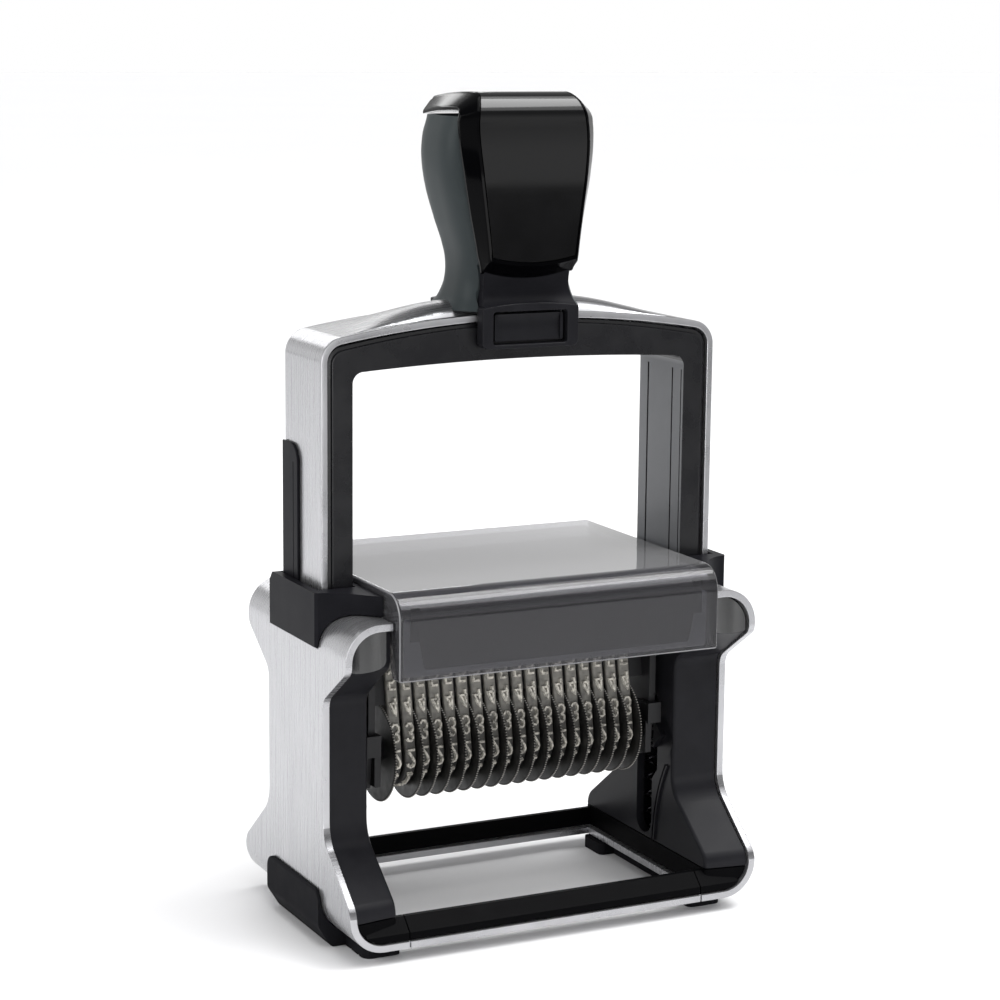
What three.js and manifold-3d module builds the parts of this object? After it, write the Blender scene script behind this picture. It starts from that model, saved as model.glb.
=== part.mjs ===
// Self-inking numbering stamp: a silver U-shaped base with black cheeks, a clear hood over a
// slide-out ink pad, a silver press bow with a contoured handle, and a print head that turns
// over as the bow goes down. The head carries eighteen digit bands on eighteen thumbwheels.
// Millimetres, +X to the right, +Y to the rear, +Z up, origin on the table under the centre.

import * as THREE from 'three';
import { mergeVertices } from 'three/addons/utils/BufferGeometryUtils.js';
import Module from 'manifold-3d';

const wasm = await Module();
wasm.setup();

// ---- driving dimensions -------------------------------------------------------------------

const GAP = 0.3;                  // running gap between neighbouring pieces
const FAR = 90;                   // length of a cutter that only has to pass right through

const FOOT_HEIGHT = 3;            // underside of the silver base above the table
const BASE_HALF_WIDTH = 50;
const BASE_HALF_DEPTH = 30.6;
const SHELL_TOP = 73.9;
const SHELL_SHEET = 1.6;
const SHELL_CORNER = 8;
const WAIST_HALF_DEPTH = 15.7;
const SHOULDER_HALF_DEPTH = 28;
const LEDGE_HALF_WIDTH = 37;      // print window in the silver plate
const LEDGE_HALF_DEPTH = 25;

const CHEEK_INNER = 38.2;         // inner face of the black cheeks
const CHEEK_WALL = 2;
const CHEEK_RECESS = 0.4;         // cheeks stand back from the shell's edge
const CHEEK_INNER_WAIST = 12.8;
const FRAME_TOP = 9.5;            // seam between base frame and cheeks
const RAIL_HALF_OPENING = 26;
const CHANNEL_HALF_DEPTH = 10.8;
const CHANNEL_FLOOR = 6.5;

const COLLAR_OUTER = 50.7;
const COLLAR_HALF_DEPTH = 13;
const COLLAR_TIP = 22.5;          // half-depth where the collar meets the hood
const COLLAR_BOTTOM = 66.6;
const COLLAR_TOP = 78.5;

const HOOD_HALF_WIDTH = 38.7;
const HOOD_HALF_DEPTH = 30.5;
const HOOD_TOP = 80;
const HOOD_BOTTOM = 61.4;
const HOOD_SKIRT = 75.8;
const HOOD_WALL = 1.3;

const ARM_INNER = 40.5;           // inner face of the bow's arms
const BOW_HALF_WIDTH = 47.9;
const BOW_HALF_DEPTH = 10.24;
const BOW_SHEET = 1.5;
const BOW_SHOULDER = 132;         // height where the crown's arc begins
const BOW_CROWN = 136;
const WINDOW_TOP = 124.5;
const WINDOW_CROWN = 125.9;
const ARM_BOTTOM = 50;             // lower end of the black arms
const SHEET_BOTTOM = 53.5;        // the silver sheet ends higher, clear of the base's corner
const STRIP_TOP = 108;

const STROKE = 43;                // travel of the press bow
const PIVOT_HEIGHT = 57;          // print head's trunnions at rest
const PRINT_RADIUS = 14;          // trunnion to print face
const PRINT_FACE = PIVOT_HEIGHT + PRINT_RADIUS;
const TRUNNION_RADIUS = 3;
const GUIDE_RADIUS = 2;
const GUIDE_ARM = 10;             // trunnion to guide pin

const WHEEL_HEIGHT = 38.2;        // thumbwheel axle at rest
const BAND_COUNT = 18;
const BAND_PITCH = 3.43;
const BAND_WIDTH = 2.6;
const BAND_RADIUS = 8.4;
const BAND_THICKNESS = 1.4;
const THUMB_RADIUS = 11.3;
const THUMB_DISC = 0.45;
const AXLE_RADIUS = 2.2;
const NOSE_HALF_DEPTH = 2.5;

const HANDLE_TOP = 183.3;
const HANDLE_FRONT = 14.7;
const SADDLE_FRONT = 13.4;
const SADDLE_HALF_WIDTH = 11.7;
const SADDLE_BOTTOM = 128.5;
const BUTTON_TRAVEL = 2;

// ---- materials ----------------------------------------------------------------------------

const material = (color, roughness, metalness, opacity = 1) => new THREE.MeshStandardMaterial({
  color, roughness, metalness, opacity, transparent: opacity < 1,
});

const brushedSilver = () => material(0xc9c9ce, 0.36, 0.9);
const satinBlack = () => material(0x24242a, 0.42, 0);
const glossBlack = () => material(0x0c0c10, 0.12, 0);
const softGrip = () => material(0x454c4d, 0.6, 0);
const rubber = () => material(0x222226, 0.8, 0);
const smokedClear = () => material(0x6a696f, 0.12, 0, 0.55);
const springSteel = () => material(0x9a9a9e, 0.3, 1);
const inkPadFoam = () => material(0x16161c, 0.95, 0);
const bandRubber = () => material(0x9b988f, 0.65, 0);

// ---- outlines and solids ------------------------------------------------------------------

// Polygon whose corners [u, v, radius] are rounded by arcs of the given number of steps.
function rounded(corners, steps = 3) {
  const points = [];
  corners.forEach(([u, v, radius = 0], i) => {
    const at = new THREE.Vector2(u, v);
    if (!radius) {
      points.push(at);
      return;
    }
    const before = new THREE.Vector2(...corners.at(i - 1)).sub(at).normalize();
    const after = new THREE.Vector2(...corners[(i + 1) % corners.length]).sub(at).normalize();
    const half = Math.acos(THREE.MathUtils.clamp(before.dot(after), -1, 1)) / 2;
    const middle = before.clone().add(after).normalize();
    const centre = at.clone().addScaledVector(middle, radius / Math.sin(half));
    const start = at.clone().addScaledVector(before, radius / Math.tan(half)).sub(centre);
    const turn = (Math.PI - 2 * half) * Math.sign(before.cross(after)) * -1;
    for (let k = 0; k <= steps; k += 1) {
      const spoke = start.clone().rotateAround(new THREE.Vector2(), (turn * k) / steps);
      points.push(spoke.add(centre));
    }
  });
  return points;
}

const rectangle = (u0, v0, u1, v1, radius = 0, steps = 3) =>
  rounded([[u0, v0, radius], [u1, v0, radius], [u1, v1, radius], [u0, v1, radius]], steps);

const circle = (u, v, radius, sides = 16) => Array.from({ length: sides }, (_, k) => {
  const angle = ((k + 0.5) * 2 * Math.PI) / sides;
  return new THREE.Vector2(u + radius * Math.cos(angle), v + radius * Math.sin(angle));
});

// Right half of an outline, from bottom to top, closed by its mirror image about u = 0.
const symmetric = (half) => [...half, ...half.toReversed().map(([u, v, r]) => [-u, v, r])];

// Extrusion of an outline between two places on an axis. The outline's (u, v) are
// (y, z) along x, (x, z) along y, and (x, y) along z.
function extruded(axis, outline, from, to, holes = []) {
  const shape = new THREE.Shape(outline);
  shape.holes = holes.map((hole) => new THREE.Path(hole));
  const geometry = new THREE.ExtrudeGeometry(shape, { depth: to - from, bevelEnabled: false });
  geometry.translate(0, 0, from);
  const basis = {
    x: [0, 0, 1, 0, 1, 0, 0, 0, 0, 1, 0, 0, 0, 0, 0, 1],
    y: [1, 0, 0, 0, 0, 0, -1, 0, 0, 1, 0, 0, 0, 0, 0, 1],
    z: [1, 0, 0, 0, 0, 1, 0, 0, 0, 0, 1, 0, 0, 0, 0, 1],
  };
  geometry.applyMatrix4(new THREE.Matrix4().set(...basis[axis]));
  if (axis === 'y') {
    geometry.translate(0, from + to, 0);
  }
  return geometry;
}

// Closed body through a stack of loops that all have the same number of points.
function lofted(loops, flatten) {
  const count = loops[0].length;
  const positions = loops.flat().flatMap((p) => [p.x, p.y, p.z]);
  const index = [];
  for (let row = 0; row < loops.length - 1; row += 1) {
    for (let k = 0; k < count; k += 1) {
      const a = row * count + k;
      const b = row * count + ((k + 1) % count);
      index.push(a, b, b + count, a, b + count, a + count);
    }
  }
  const last = (loops.length - 1) * count;
  THREE.ShapeUtils.triangulateShape(loops[0].map(flatten), []).forEach(([a, b, c]) => {
    index.push(c, b, a);
  });
  THREE.ShapeUtils.triangulateShape(loops.at(-1).map(flatten), []).forEach(([a, b, c]) => {
    index.push(last + a, last + b, last + c);
  });
  const geometry = new THREE.BufferGeometry();
  geometry.setAttribute('position', new THREE.Float32BufferAttribute(positions, 3));
  geometry.setIndex(index);
  return geometry;
}

function solid(geometry) {
  const bare = geometry.clone();
  bare.deleteAttribute('normal');
  bare.deleteAttribute('uv');
  const merged = mergeVertices(bare, 1e-4);
  return new wasm.Manifold(new wasm.Mesh({
    numProp: 3,
    vertProperties: new Float32Array(merged.attributes.position.array),
    triVerts: new Uint32Array(merged.index.array),
  }));
}

function geometryOf(body) {
  const { vertProperties, triVerts } = body.getMesh();
  const geometry = new THREE.BufferGeometry();
  geometry.setAttribute('position', new THREE.BufferAttribute(vertProperties, 3));
  geometry.setIndex(new THREE.BufferAttribute(triVerts, 1));
  geometry.computeVertexNormals();
  return geometry;
}

const join = (first, ...others) => others.reduce((body, other) => body.add(other), first);
const cut = (first, ...others) => others.reduce((body, other) => body.subtract(other), first);
const prism = (...args) => solid(extruded(...args));

const box = (x0, x1, y0, y1, z0, z1) => prism('z', rectangle(x0, y0, x1, y1), z0, z1);

// The same body on the other side of the x = 0 plane.
function mirrored(geometry) {
  const copy = geometry.clone().scale(-1, 1, 1);
  const index = copy.index.array;
  for (let k = 0; k < index.length; k += 3) {
    [index[k], index[k + 1]] = [index[k + 1], index[k]];
  }
  copy.computeVertexNormals();
  return copy;
}

function mesh(name, geometry, finish) {
  const piece = new THREE.Mesh(geometry, finish);
  piece.name = name;
  return piece;
}

// Left and right pieces from a geometry that is drawn on the right.
function pair(name, geometry, finish) {
  return [
    mesh(`left_${name}`, mirrored(geometry), finish()),
    mesh(`right_${name}`, geometry, finish()),
  ];
}

function group(name, ...pieces) {
  const set = new THREE.Group();
  set.name = name;
  set.add(...pieces.flat());
  return set;
}

// ---- base ---------------------------------------------------------------------------------

// Front view of the base's outer surface, moved inwards by inset: a rounded rectangle.
const baseTube = (inset, halfLength = FAR) => prism('y', rectangle(
  inset - BASE_HALF_WIDTH, FOOT_HEIGHT + inset,
  BASE_HALF_WIDTH - inset, SHELL_TOP - inset,
  SHELL_CORNER - inset, 5,
), -halfLength, halfLength);

// Side view of the silver sheet: wide foot, narrow waist, flared shoulder.
const shellSide = () => rounded(symmetric([
  [BASE_HALF_DEPTH, FOOT_HEIGHT - 1],
  [BASE_HALF_DEPTH, 12.6, 3.5],
  [WAIST_HALF_DEPTH, 24.8, 5],
  [WAIST_HALF_DEPTH, 55.5, 3],
  [SHOULDER_HALF_DEPTH, 63.9, 3],
  [SHOULDER_HALF_DEPTH, SHELL_TOP + 1],
]));

function baseShell() {
  const sheet = cut(baseTube(0, BASE_HALF_DEPTH + 1), baseTube(SHELL_SHEET));
  const opening = HOOD_HALF_WIDTH + GAP;
  const notch = COLLAR_HALF_DEPTH + GAP;
  const stripRelief = (side) => box(
    ...[side * 47.5, side * 49.1].sort((a, b) => a - b), 1.2, 10.9, 8, 70,
  );
  return geometryOf(cut(
    sheet.intersect(prism('x', shellSide(), -FAR, FAR)),
    box(-opening, opening, -FAR, FAR, 40, FAR),
    box(-LEDGE_HALF_WIDTH, LEDGE_HALF_WIDTH, -LEDGE_HALF_DEPTH, LEDGE_HALF_DEPTH, 0, 10),
    box(-FAR, FAR, -notch, notch, COLLAR_BOTTOM - GAP, FAR),
    stripRelief(-1),
    stripRelief(1),
  ));
}

// Side view of a cheek at its inner or its outer face.
function cheekLoop(x, halfDepths, heights) {
  const [foot, waist, shoulder] = halfDepths;
  const [lowFlare, lowWaist, highWaist, highFlare] = heights;
  const outline = rounded(symmetric([
    [foot, FOOT_HEIGHT + SHELL_SHEET + GAP],
    [foot, lowFlare, 3.5],
    [waist, lowWaist, 5],
    [waist, highWaist, 4],
    [shoulder, highFlare, 3],
    [shoulder, SHELL_TOP - SHELL_SHEET - GAP],
  ]));
  return outline.map((p) => new THREE.Vector3(x, p.x, p.y));
}

// Right-hand black block from the base plate up to the shoulder: its front and rear faces
// slant inwards from the silver sheet to the print head's space.
function cheekBlock() {
  const inner = cheekLoop(CHEEK_INNER, [28, CHEEK_INNER_WAIST, 26.2], [12, 26.2, 54.9, 64.1]);
  const outer = cheekLoop(BASE_HALF_WIDTH, [
    BASE_HALF_DEPTH - CHEEK_RECESS,
    WAIST_HALF_DEPTH - CHEEK_RECESS,
    SHOULDER_HALF_DEPTH - CHEEK_RECESS,
  ], [12.4, 24.7, 55.6, 64.2]);
  const block = solid(lofted([inner, outer], (p) => new THREE.Vector2(p.y, p.z)));
  const channel = box(
    CHEEK_INNER + CHEEK_WALL, BASE_HALF_WIDTH,
    -CHANNEL_HALF_DEPTH, CHANNEL_HALF_DEPTH, CHANNEL_FLOOR, FAR,
  );
  return cut(block.intersect(baseTube(SHELL_SHEET + GAP)), channel);
}

// Groove that the guide pin follows while the head turns over by half a turn.
function camGroove(halfWidth) {
  const steps = 14;
  const path = new THREE.Vector2();
  const sides = [[], []];
  for (let k = 0; k <= steps; k += 1) {
    const turn = (Math.PI * k) / steps;
    const drop = (STROKE * turn) / Math.PI;
    path.set(-GUIDE_ARM * Math.sin(turn), PIVOT_HEIGHT - drop - GUIDE_ARM * Math.cos(turn));
    const along = new THREE.Vector2(
      -GUIDE_ARM * Math.cos(turn),
      -STROKE / Math.PI + GUIDE_ARM * Math.sin(turn),
    ).normalize();
    const across = new THREE.Vector2(-along.y, along.x).multiplyScalar(halfWidth);
    sides[0].push(path.clone().add(across));
    sides[1].unshift(path.clone().sub(across));
  }
  return [...sides[0], ...sides[1]];
}

function cheek() {
  const slotHalf = TRUNNION_RADIUS + 0.5;
  const slot = rectangle(
    -slotHalf, PIVOT_HEIGHT - STROKE - slotHalf, slotHalf, PIVOT_HEIGHT + slotHalf, 3.4,
  );
  const grooveDepth = 1.3;
  const pinRoom = GUIDE_RADIUS + 0.5;
  const low = PIVOT_HEIGHT - STROKE + GUIDE_ARM;
  const high = PIVOT_HEIGHT - GUIDE_ARM;
  const grooveFloor = CHEEK_INNER + grooveDepth;
  const hoodRoom = (y0, y1) => box(0, HOOD_HALF_WIDTH + GAP, y0, y1, 58, FAR);
  return geometryOf(cut(
    cheekBlock(),
    hoodRoom(-FAR, -COLLAR_HALF_DEPTH),
    hoodRoom(COLLAR_HALF_DEPTH, FAR),
    box(0, FAR, -FAR, FAR, 0, FRAME_TOP + GAP),
    box(0, FAR, -COLLAR_HALF_DEPTH - GAP, COLLAR_HALF_DEPTH + GAP, COLLAR_BOTTOM - GAP, FAR),
    prism('x', slot, 30, CHEEK_INNER + CHEEK_WALL + 1),
    prism('x', camGroove(pinRoom), 30, grooveFloor),
    prism('x', circle(0, low, pinRoom), 30, grooveFloor),
    prism('x', circle(0, high, pinRoom), 30, grooveFloor),
  ));
}

// Black ring on the base plate: cheek feet at the sides, bevelled rails front and rear.
function baseFrame() {
  const right = cheekBlock().intersect(box(0, FAR, -FAR, FAR, 0, FRAME_TOP));
  const left = solid(mirrored(geometryOf(right)));
  const floor = FOOT_HEIGHT + SHELL_SHEET + GAP;
  const front = BASE_HALF_DEPTH - CHEEK_RECESS;
  const rail = (side) => prism('x', rounded([
    [side * front, floor],
    [side * front, floor + 1.5],
    [side * (RAIL_HALF_OPENING + 1.2), FRAME_TOP - 0.3],
    [side * RAIL_HALF_OPENING, FRAME_TOP - 0.3],
    [side * RAIL_HALF_OPENING, floor],
  ]), -CHEEK_INNER - 1, CHEEK_INNER + 1);
  return geometryOf(join(right, left, rail(1), rail(-1)));
}

// Rubber foot: a strip on the floor with toes, and a guard that wraps up the side.
function foot() {
  const strip = rectangle(39.5, -25.5, 47, 25.5, 2);
  const toe = (side) => prism('z', rectangle(
    35.8, side * 21 - 4.5, 42, side * 21 + 4.5, 1.5,
  ), 0, FOOT_HEIGHT - GAP);
  const guard = prism('y', rounded([
    [41, 0], [47.8, 0, 1.5], [50.9, 5, 3], [50.9, 13, 0.5], [49, 13], [41, FOOT_HEIGHT],
  ]), -15, 15);
  return geometryOf(cut(
    join(prism('z', strip, 0, 5), toe(1), toe(-1), guard),
    baseTube(-0.2),
  ));
}

// Collar that guides an arm of the bow where it enters the shoulder.
function collar() {
  const near = HOOD_HALF_WIDTH + GAP;
  const plan = rounded([
    [near, -COLLAR_TIP],
    [COLLAR_OUTER - 1.3, -COLLAR_HALF_DEPTH - 0.6],
    [COLLAR_OUTER, -COLLAR_HALF_DEPTH + 1],
    [COLLAR_OUTER, COLLAR_HALF_DEPTH - 1],
    [COLLAR_OUTER - 1.3, COLLAR_HALF_DEPTH + 0.6],
    [near, COLLAR_TIP],
  ]);
  const shoulder = (y0, y1) => baseTube(-GAP).intersect(box(0, FAR, y0, y1, 0, FAR));
  return geometryOf(cut(
    prism('z', plan, COLLAR_BOTTOM, COLLAR_TOP),
    shoulder(-FAR, -COLLAR_HALF_DEPTH),
    shoulder(COLLAR_HALF_DEPTH, FAR),
    box(ARM_INNER - GAP, 48.9, -CHANNEL_HALF_DEPTH, CHANNEL_HALF_DEPTH, 0, FAR),
  ));
}

// ---- pad bay ------------------------------------------------------------------------------

function hood() {
  const outer = rounded([
    [-HOOD_HALF_DEPTH, HOOD_BOTTOM],
    [-26.5, HOOD_BOTTOM],
    [-20, HOOD_SKIRT, 4],
    [HOOD_HALF_DEPTH, HOOD_SKIRT],
    [HOOD_HALF_DEPTH, HOOD_TOP],
    [-24, HOOD_TOP - 0.7, 6],
    [-HOOD_HALF_DEPTH, HOOD_TOP - 4, 3],
  ]);
  const inner = rounded([
    [HOOD_WALL - HOOD_HALF_DEPTH, 40],
    [HOOD_HALF_DEPTH + 5, 40],
    [HOOD_HALF_DEPTH + 5, HOOD_TOP - HOOD_WALL],
    [-24.3, HOOD_TOP - 0.7 - HOOD_WALL, 5],
    [HOOD_WALL - HOOD_HALF_DEPTH, HOOD_TOP - 4.6, 2],
  ]);
  const inside = HOOD_HALF_WIDTH - HOOD_WALL;
  return geometryOf(cut(
    prism('x', outer, -HOOD_HALF_WIDTH, HOOD_HALF_WIDTH),
    prism('x', inner, -inside, inside),
  ));
}

const BAY_HALF_WIDTH = 35.5;
const BAY_TOP = 77.7;
const BAY_FRONT = 28.9;
const RAIL_INNER = 31;            // ledges that the cartridge slides on
const TRAY_HALF_WIDTH = 33.1;
const TRAY_TOP = 76;

// Dark inner box under the hood: roof, front wall, side rails and four lugs to the cheeks.
function padHousing() {
  const sideWall = (side) => prism('y', rounded([
    [side * RAIL_INNER, 69.6],
    [side * BAY_HALF_WIDTH, 69.6],
    [side * BAY_HALF_WIDTH, BAY_TOP],
    [side * (TRAY_HALF_WIDTH + GAP), BAY_TOP],
    [side * (TRAY_HALF_WIDTH + GAP), 71],
    [side * RAIL_INNER, 71],
  ]), -BAY_FRONT, BAY_FRONT);
  const lug = (side, y) => box(
    ...[side * (BAY_HALF_WIDTH - 0.5), side * (CHEEK_INNER - GAP)].sort((a, b) => a - b),
    y - 3, y + 3, 69.6, 73,
  );
  const sideView = rounded([
    [-BAY_FRONT, 60], [BAY_FRONT, 60], [BAY_FRONT, BAY_TOP], [-24, BAY_TOP - 0.2, 5],
    [-BAY_FRONT, BAY_TOP - 3, 2],
  ]);
  return geometryOf(join(
    box(-BAY_HALF_WIDTH, BAY_HALF_WIDTH, -BAY_FRONT, BAY_FRONT, TRAY_TOP + GAP, BAY_TOP),
    box(-BAY_HALF_WIDTH, BAY_HALF_WIDTH, -BAY_FRONT, 1.4 - BAY_FRONT, 62.6, BAY_TOP),
    sideWall(1),
    sideWall(-1),
    lug(1, 17), lug(-1, 17), lug(1, -17), lug(-1, -17),
  ).intersect(prism('x', sideView, -FAR, FAR)));
}

const PAD_HALF_WIDTH = 30.9;

// Tray that slides out to the rear with the ink pad, with a grip wall at its rear end.
function padCartridge() {
  const front = 1.4 + GAP - BAY_FRONT;
  const flange = (side) => box(
    ...[side * (RAIL_INNER + 0.1), side * TRAY_HALF_WIDTH].sort((a, b) => a - b),
    front, BAY_FRONT, 71.3, 74,
  );
  return geometryOf(join(
    box(-TRAY_HALF_WIDTH, TRAY_HALF_WIDTH, front, BAY_FRONT, 73.4, TRAY_TOP),
    flange(1),
    flange(-1),
    prism('y', rectangle(-29, 65.5, 29, TRAY_TOP, 1.5), BAY_FRONT - 0.9, 30.4),
  ));
}

const inkPad = () => extruded(
  'z', rectangle(-PAD_HALF_WIDTH, -24, PAD_HALF_WIDTH, 24, 1.5), PRINT_FACE + GAP, 73.1,
);

// ---- press bow ----------------------------------------------------------------------------

// Arc of the crown between two half-widths, rising to its top on the centre line.
function crownArc(halfWidth, edge, top, steps = 8) {
  return Array.from({ length: steps + 1 }, (_, k) => {
    const x = halfWidth * (1 - (2 * k) / steps);
    return new THREE.Vector2(x, top - (top - edge) * (x / halfWidth) ** 2);
  });
}

// Front view of the bow inside its silver sheet by inset, without its foot.
function bowOutline(inset, bottom) {
  const side = BOW_HALF_WIDTH - inset;
  const shoulder = BOW_SHOULDER - inset;
  const crown = crownArc(side - 6, shoulder + 0.6, BOW_CROWN - inset);
  const corner = rounded([[side, bottom], [side, shoulder - 0.6, 5.5 - inset], [0, BOW_CROWN]], 4);
  const right = corner.slice(0, -1);
  const left = right.toReversed().map((p) => new THREE.Vector2(-p.x, p.y));
  return [...right, ...crown, ...left];
}

function windowOutline(inset, bottom) {
  const side = ARM_INNER - inset;
  const corner = rounded([[side, bottom], [side, WINDOW_TOP - inset, 2.5], [0, WINDOW_TOP]], 3);
  const right = corner.slice(0, -1);
  const arc = crownArc(side - 3, WINDOW_TOP + 0.1 - inset, WINDOW_CROWN - inset, 6);
  const left = right.toReversed().map((p) => new THREE.Vector2(-p.x, p.y));
  return [...right, ...arc, ...left];
}

const BUTTON_HALF_WIDTH = 8.3;
const BUTTON_BOTTOM = 130;
const BUTTON_TOP = 135.9;
const BUTTON_BACK = -6;

const buttonPocket = () => box(
  -BUTTON_HALF_WIDTH - GAP, BUTTON_HALF_WIDTH + GAP,
  -FAR, BUTTON_BACK + BUTTON_TRAVEL + GAP,
  BUTTON_BOTTOM - GAP, BUTTON_TOP + 0.6,
);

function bowShell() {
  const outer = prism('y', bowOutline(0, SHEET_BOTTOM), -BOW_HALF_DEPTH, BOW_HALF_DEPTH);
  const inner = prism('y', bowOutline(BOW_SHEET, 0), -FAR, FAR);
  return geometryOf(cut(outer, inner, buttonPocket()));
}

const SPRING_X = 43.3;
const SPRING_Y = 6;
const SPRING_TOP = 99.5;
const SPRING_BORE = 2.2;

function bowLiner() {
  const halfDepth = BOW_HALF_DEPTH - 0.3;
  const outer = prism('y', bowOutline(BOW_SHEET + GAP, ARM_BOTTOM), -halfDepth, halfDepth);
  const window = prism('y', windowOutline(0, 0), -FAR, FAR);
  const bores = [-1, 1].flatMap((side) => [
    prism('z', circle(side * SPRING_X, SPRING_Y, SPRING_BORE, 12), 0, SPRING_TOP + 0.5),
    prism('x', circle(0, PIVOT_HEIGHT, TRUNNION_RADIUS + GAP), ...(
      side > 0 ? [ARM_INNER - 1, 44] : [-44, 1 - ARM_INNER])),
  ]);
  return geometryOf(cut(outer, window, buttonPocket(), ...bores));
}

// Black wear strip on the outer face of an arm, rear half.
const slideBar = () => geometryOf(prism('x', rounded([
  [1.6, SHEET_BOTTOM], [10.2, SHEET_BOTTOM], [10.2, STRIP_TOP], [1.6, STRIP_TOP, 4],
]), BOW_HALF_WIDTH + 0.1, 48.6));

// Compression spring inside an arm, standing on the channel's floor.
function returnSpring() {
  const turns = 9;
  const steps = turns * 7;
  const bottom = CHANNEL_FLOOR + 0.9;
  const points = Array.from({ length: steps + 1 }, (_, k) => new THREE.Vector3(
    SPRING_X + 1.5 * Math.cos((k * 2 * Math.PI) / 7),
    SPRING_Y + 1.5 * Math.sin((k * 2 * Math.PI) / 7),
    bottom + ((SPRING_TOP - 0.5 - bottom) * k) / steps,
  ));
  const wire = new THREE.Shape(circle(0, 0, 0.35, 5));
  const extrudePath = new THREE.CatmullRomCurve3(points);
  return geometryOf(solid(new THREE.ExtrudeGeometry(wire, { steps, extrudePath })));
}

// ---- handle -------------------------------------------------------------------------------

// Plan section of the grip at one height: a square-shouldered oval.
function gripLoop([z, halfWidth, front, back]) {
  const sides = 24;
  const power = 2 / 3.6;
  return Array.from({ length: sides }, (_, k) => {
    const angle = (k * 2 * Math.PI) / sides;
    const [c, s] = [Math.cos(angle), Math.sin(angle)];
    const y = Math.sign(s) * Math.abs(s) ** power;
    return new THREE.Vector3(
      halfWidth * Math.sign(c) * Math.abs(c) ** power,
      y * (y < 0 ? front : back),
      z,
    );
  });
}

const gripLoft = (rows) => solid(lofted(rows.map(gripLoop), (p) => new THREE.Vector2(p.x, p.y)));

// Height, half-width, front depth and rear depth of the soft grip.
const GRIP_ROWS = [
  [136.5, 15.6, 12.3, 12.3],
  [138.7, 14.2, 11.6, 10],
  [142, 13.3, 10.8, 7.8],
  [145.7, 13.2, 11.2, 6.6],
  [149.5, 13.7, 12, 6.8],
  [155.5, 15.3, 12, 8.6],
  [162.5, 16.9, 12, 10.8],
  [169, 17.6, 12, 12],
  [174, 17.4, 12, 12],
  [178, 16.3, 12, 11.6],
];

function handleCore() {
  const apron = (y0, y1) => prism('y', rectangle(
    -SADDLE_HALF_WIDTH, SADDLE_BOTTOM, SADDLE_HALF_WIDTH, 138.5, 1.5,
  ), y0, y1);
  const buttonRoom = prism('y', rectangle(
    -BUTTON_HALF_WIDTH - GAP, BUTTON_BOTTOM - GAP,
    BUTTON_HALF_WIDTH + GAP, BUTTON_TOP + GAP,
  ), -FAR, 0);
  return geometryOf(cut(
    join(gripLoft(GRIP_ROWS), apron(-SADDLE_FRONT, -10.6), apron(10.6, SADDLE_FRONT)),
    buttonRoom,
  ));
}

// Front view of the front panel, moved inwards by inset: narrow at the neck, wide at the top.
const panelOutline = (inset) => rounded([
  [inset - 10.4, 146 + inset, 1.2],
  [10.4 - inset, 146 + inset, 1.2],
  [14.7 - inset, 172, 8],
  [13.8 - inset, 180.6 - inset, 3],
  [inset - 13.8, 180.6 - inset, 3],
  [inset - 14.7, 172, 8],
], 3);

const PANEL_CHAMFER = 1.1;
const WINDOW_INSET = 1.6;
const FRAME_BACK = 12.3;

// Black gloss strap: a frame round the front panel, joined to a cap over the top.
function handleStrap() {
  const loop = (inset, y) => panelOutline(inset).map((p) => new THREE.Vector3(p.x, y, p.y));
  const frontFrame = solid(lofted(
    [loop(-PANEL_CHAMFER, -FRAME_BACK), loop(0, 0.6 - HANDLE_FRONT), loop(0.4, -HANDLE_FRONT)],
    (p) => new THREE.Vector2(p.x, p.z),
  ));
  const windowRoom = prism('y', panelOutline(WINDOW_INSET), -FAR, 0);
  const cap = gripLoft([
    [178.3, 16.2, 13, 12.9],
    [181, 14.6, 13, 12],
    [HANDLE_TOP, 11, 9.5, 8.5],
  ]);
  return geometryOf(cut(join(cap, frontFrame), windowRoom));
}

const handleWindow = () => extruded(
  'y', panelOutline(WINDOW_INSET + GAP), 0.3 - HANDLE_FRONT, -FRAME_BACK,
);

const lockButton = () => extruded('y', rectangle(
  -BUTTON_HALF_WIDTH, BUTTON_BOTTOM, BUTTON_HALF_WIDTH, BUTTON_TOP, 0.4, 2,
), 0.2 - SADDLE_FRONT, BUTTON_BACK);

// ---- print head ---------------------------------------------------------------------------

// Side frames with trunnions and guide pins, joined by the spine inside the bands.
function headFrame() {
  const plateIn = 34.4;
  const plateOut = 36;
  const plate = rounded(symmetric([[6, 31, 3], [8, 46, 4], [8, 61, 3], [5.5, 68, 2]]), 3);
  const aboveDiscs = WHEEL_HEIGHT + THUMB_RADIUS + GAP;
  const spine = rounded(symmetric([[4.5, aboveDiscs], [0.75, PRINT_FACE - 2]]));
  const half = join(
    prism('x', plate, plateIn, plateOut),
    prism('x', circle(0, WHEEL_HEIGHT, 4), 32, plateIn + 1),
    prism('x', circle(0, PIVOT_HEIGHT, TRUNNION_RADIUS), plateIn + 1, 43.5),
    prism('x', circle(0, PIVOT_HEIGHT - GUIDE_ARM, GUIDE_RADIUS, 12), plateIn + 1, 39.2),
    box(plateIn + 1, 37.4, -2.6, 2.6, PIVOT_HEIGHT - GUIDE_ARM - 2.6, PIVOT_HEIGHT - 4),
    prism('x', spine, -1, plateIn + 1),
  );
  const bore = prism('x', circle(0, WHEEL_HEIGHT, AXLE_RADIUS + 0.2), 20, plateOut - 0.6);
  const right = cut(half, bore);
  return geometryOf(join(right, solid(mirrored(geometryOf(right)))));
}

const wheelAxle = () => extruded('x', circle(0, 0, AXLE_RADIUS), -35.2, 35.2);

const DRUM_RADIUS = BAND_RADIUS - BAND_THICKNESS - 0.5;

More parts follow.
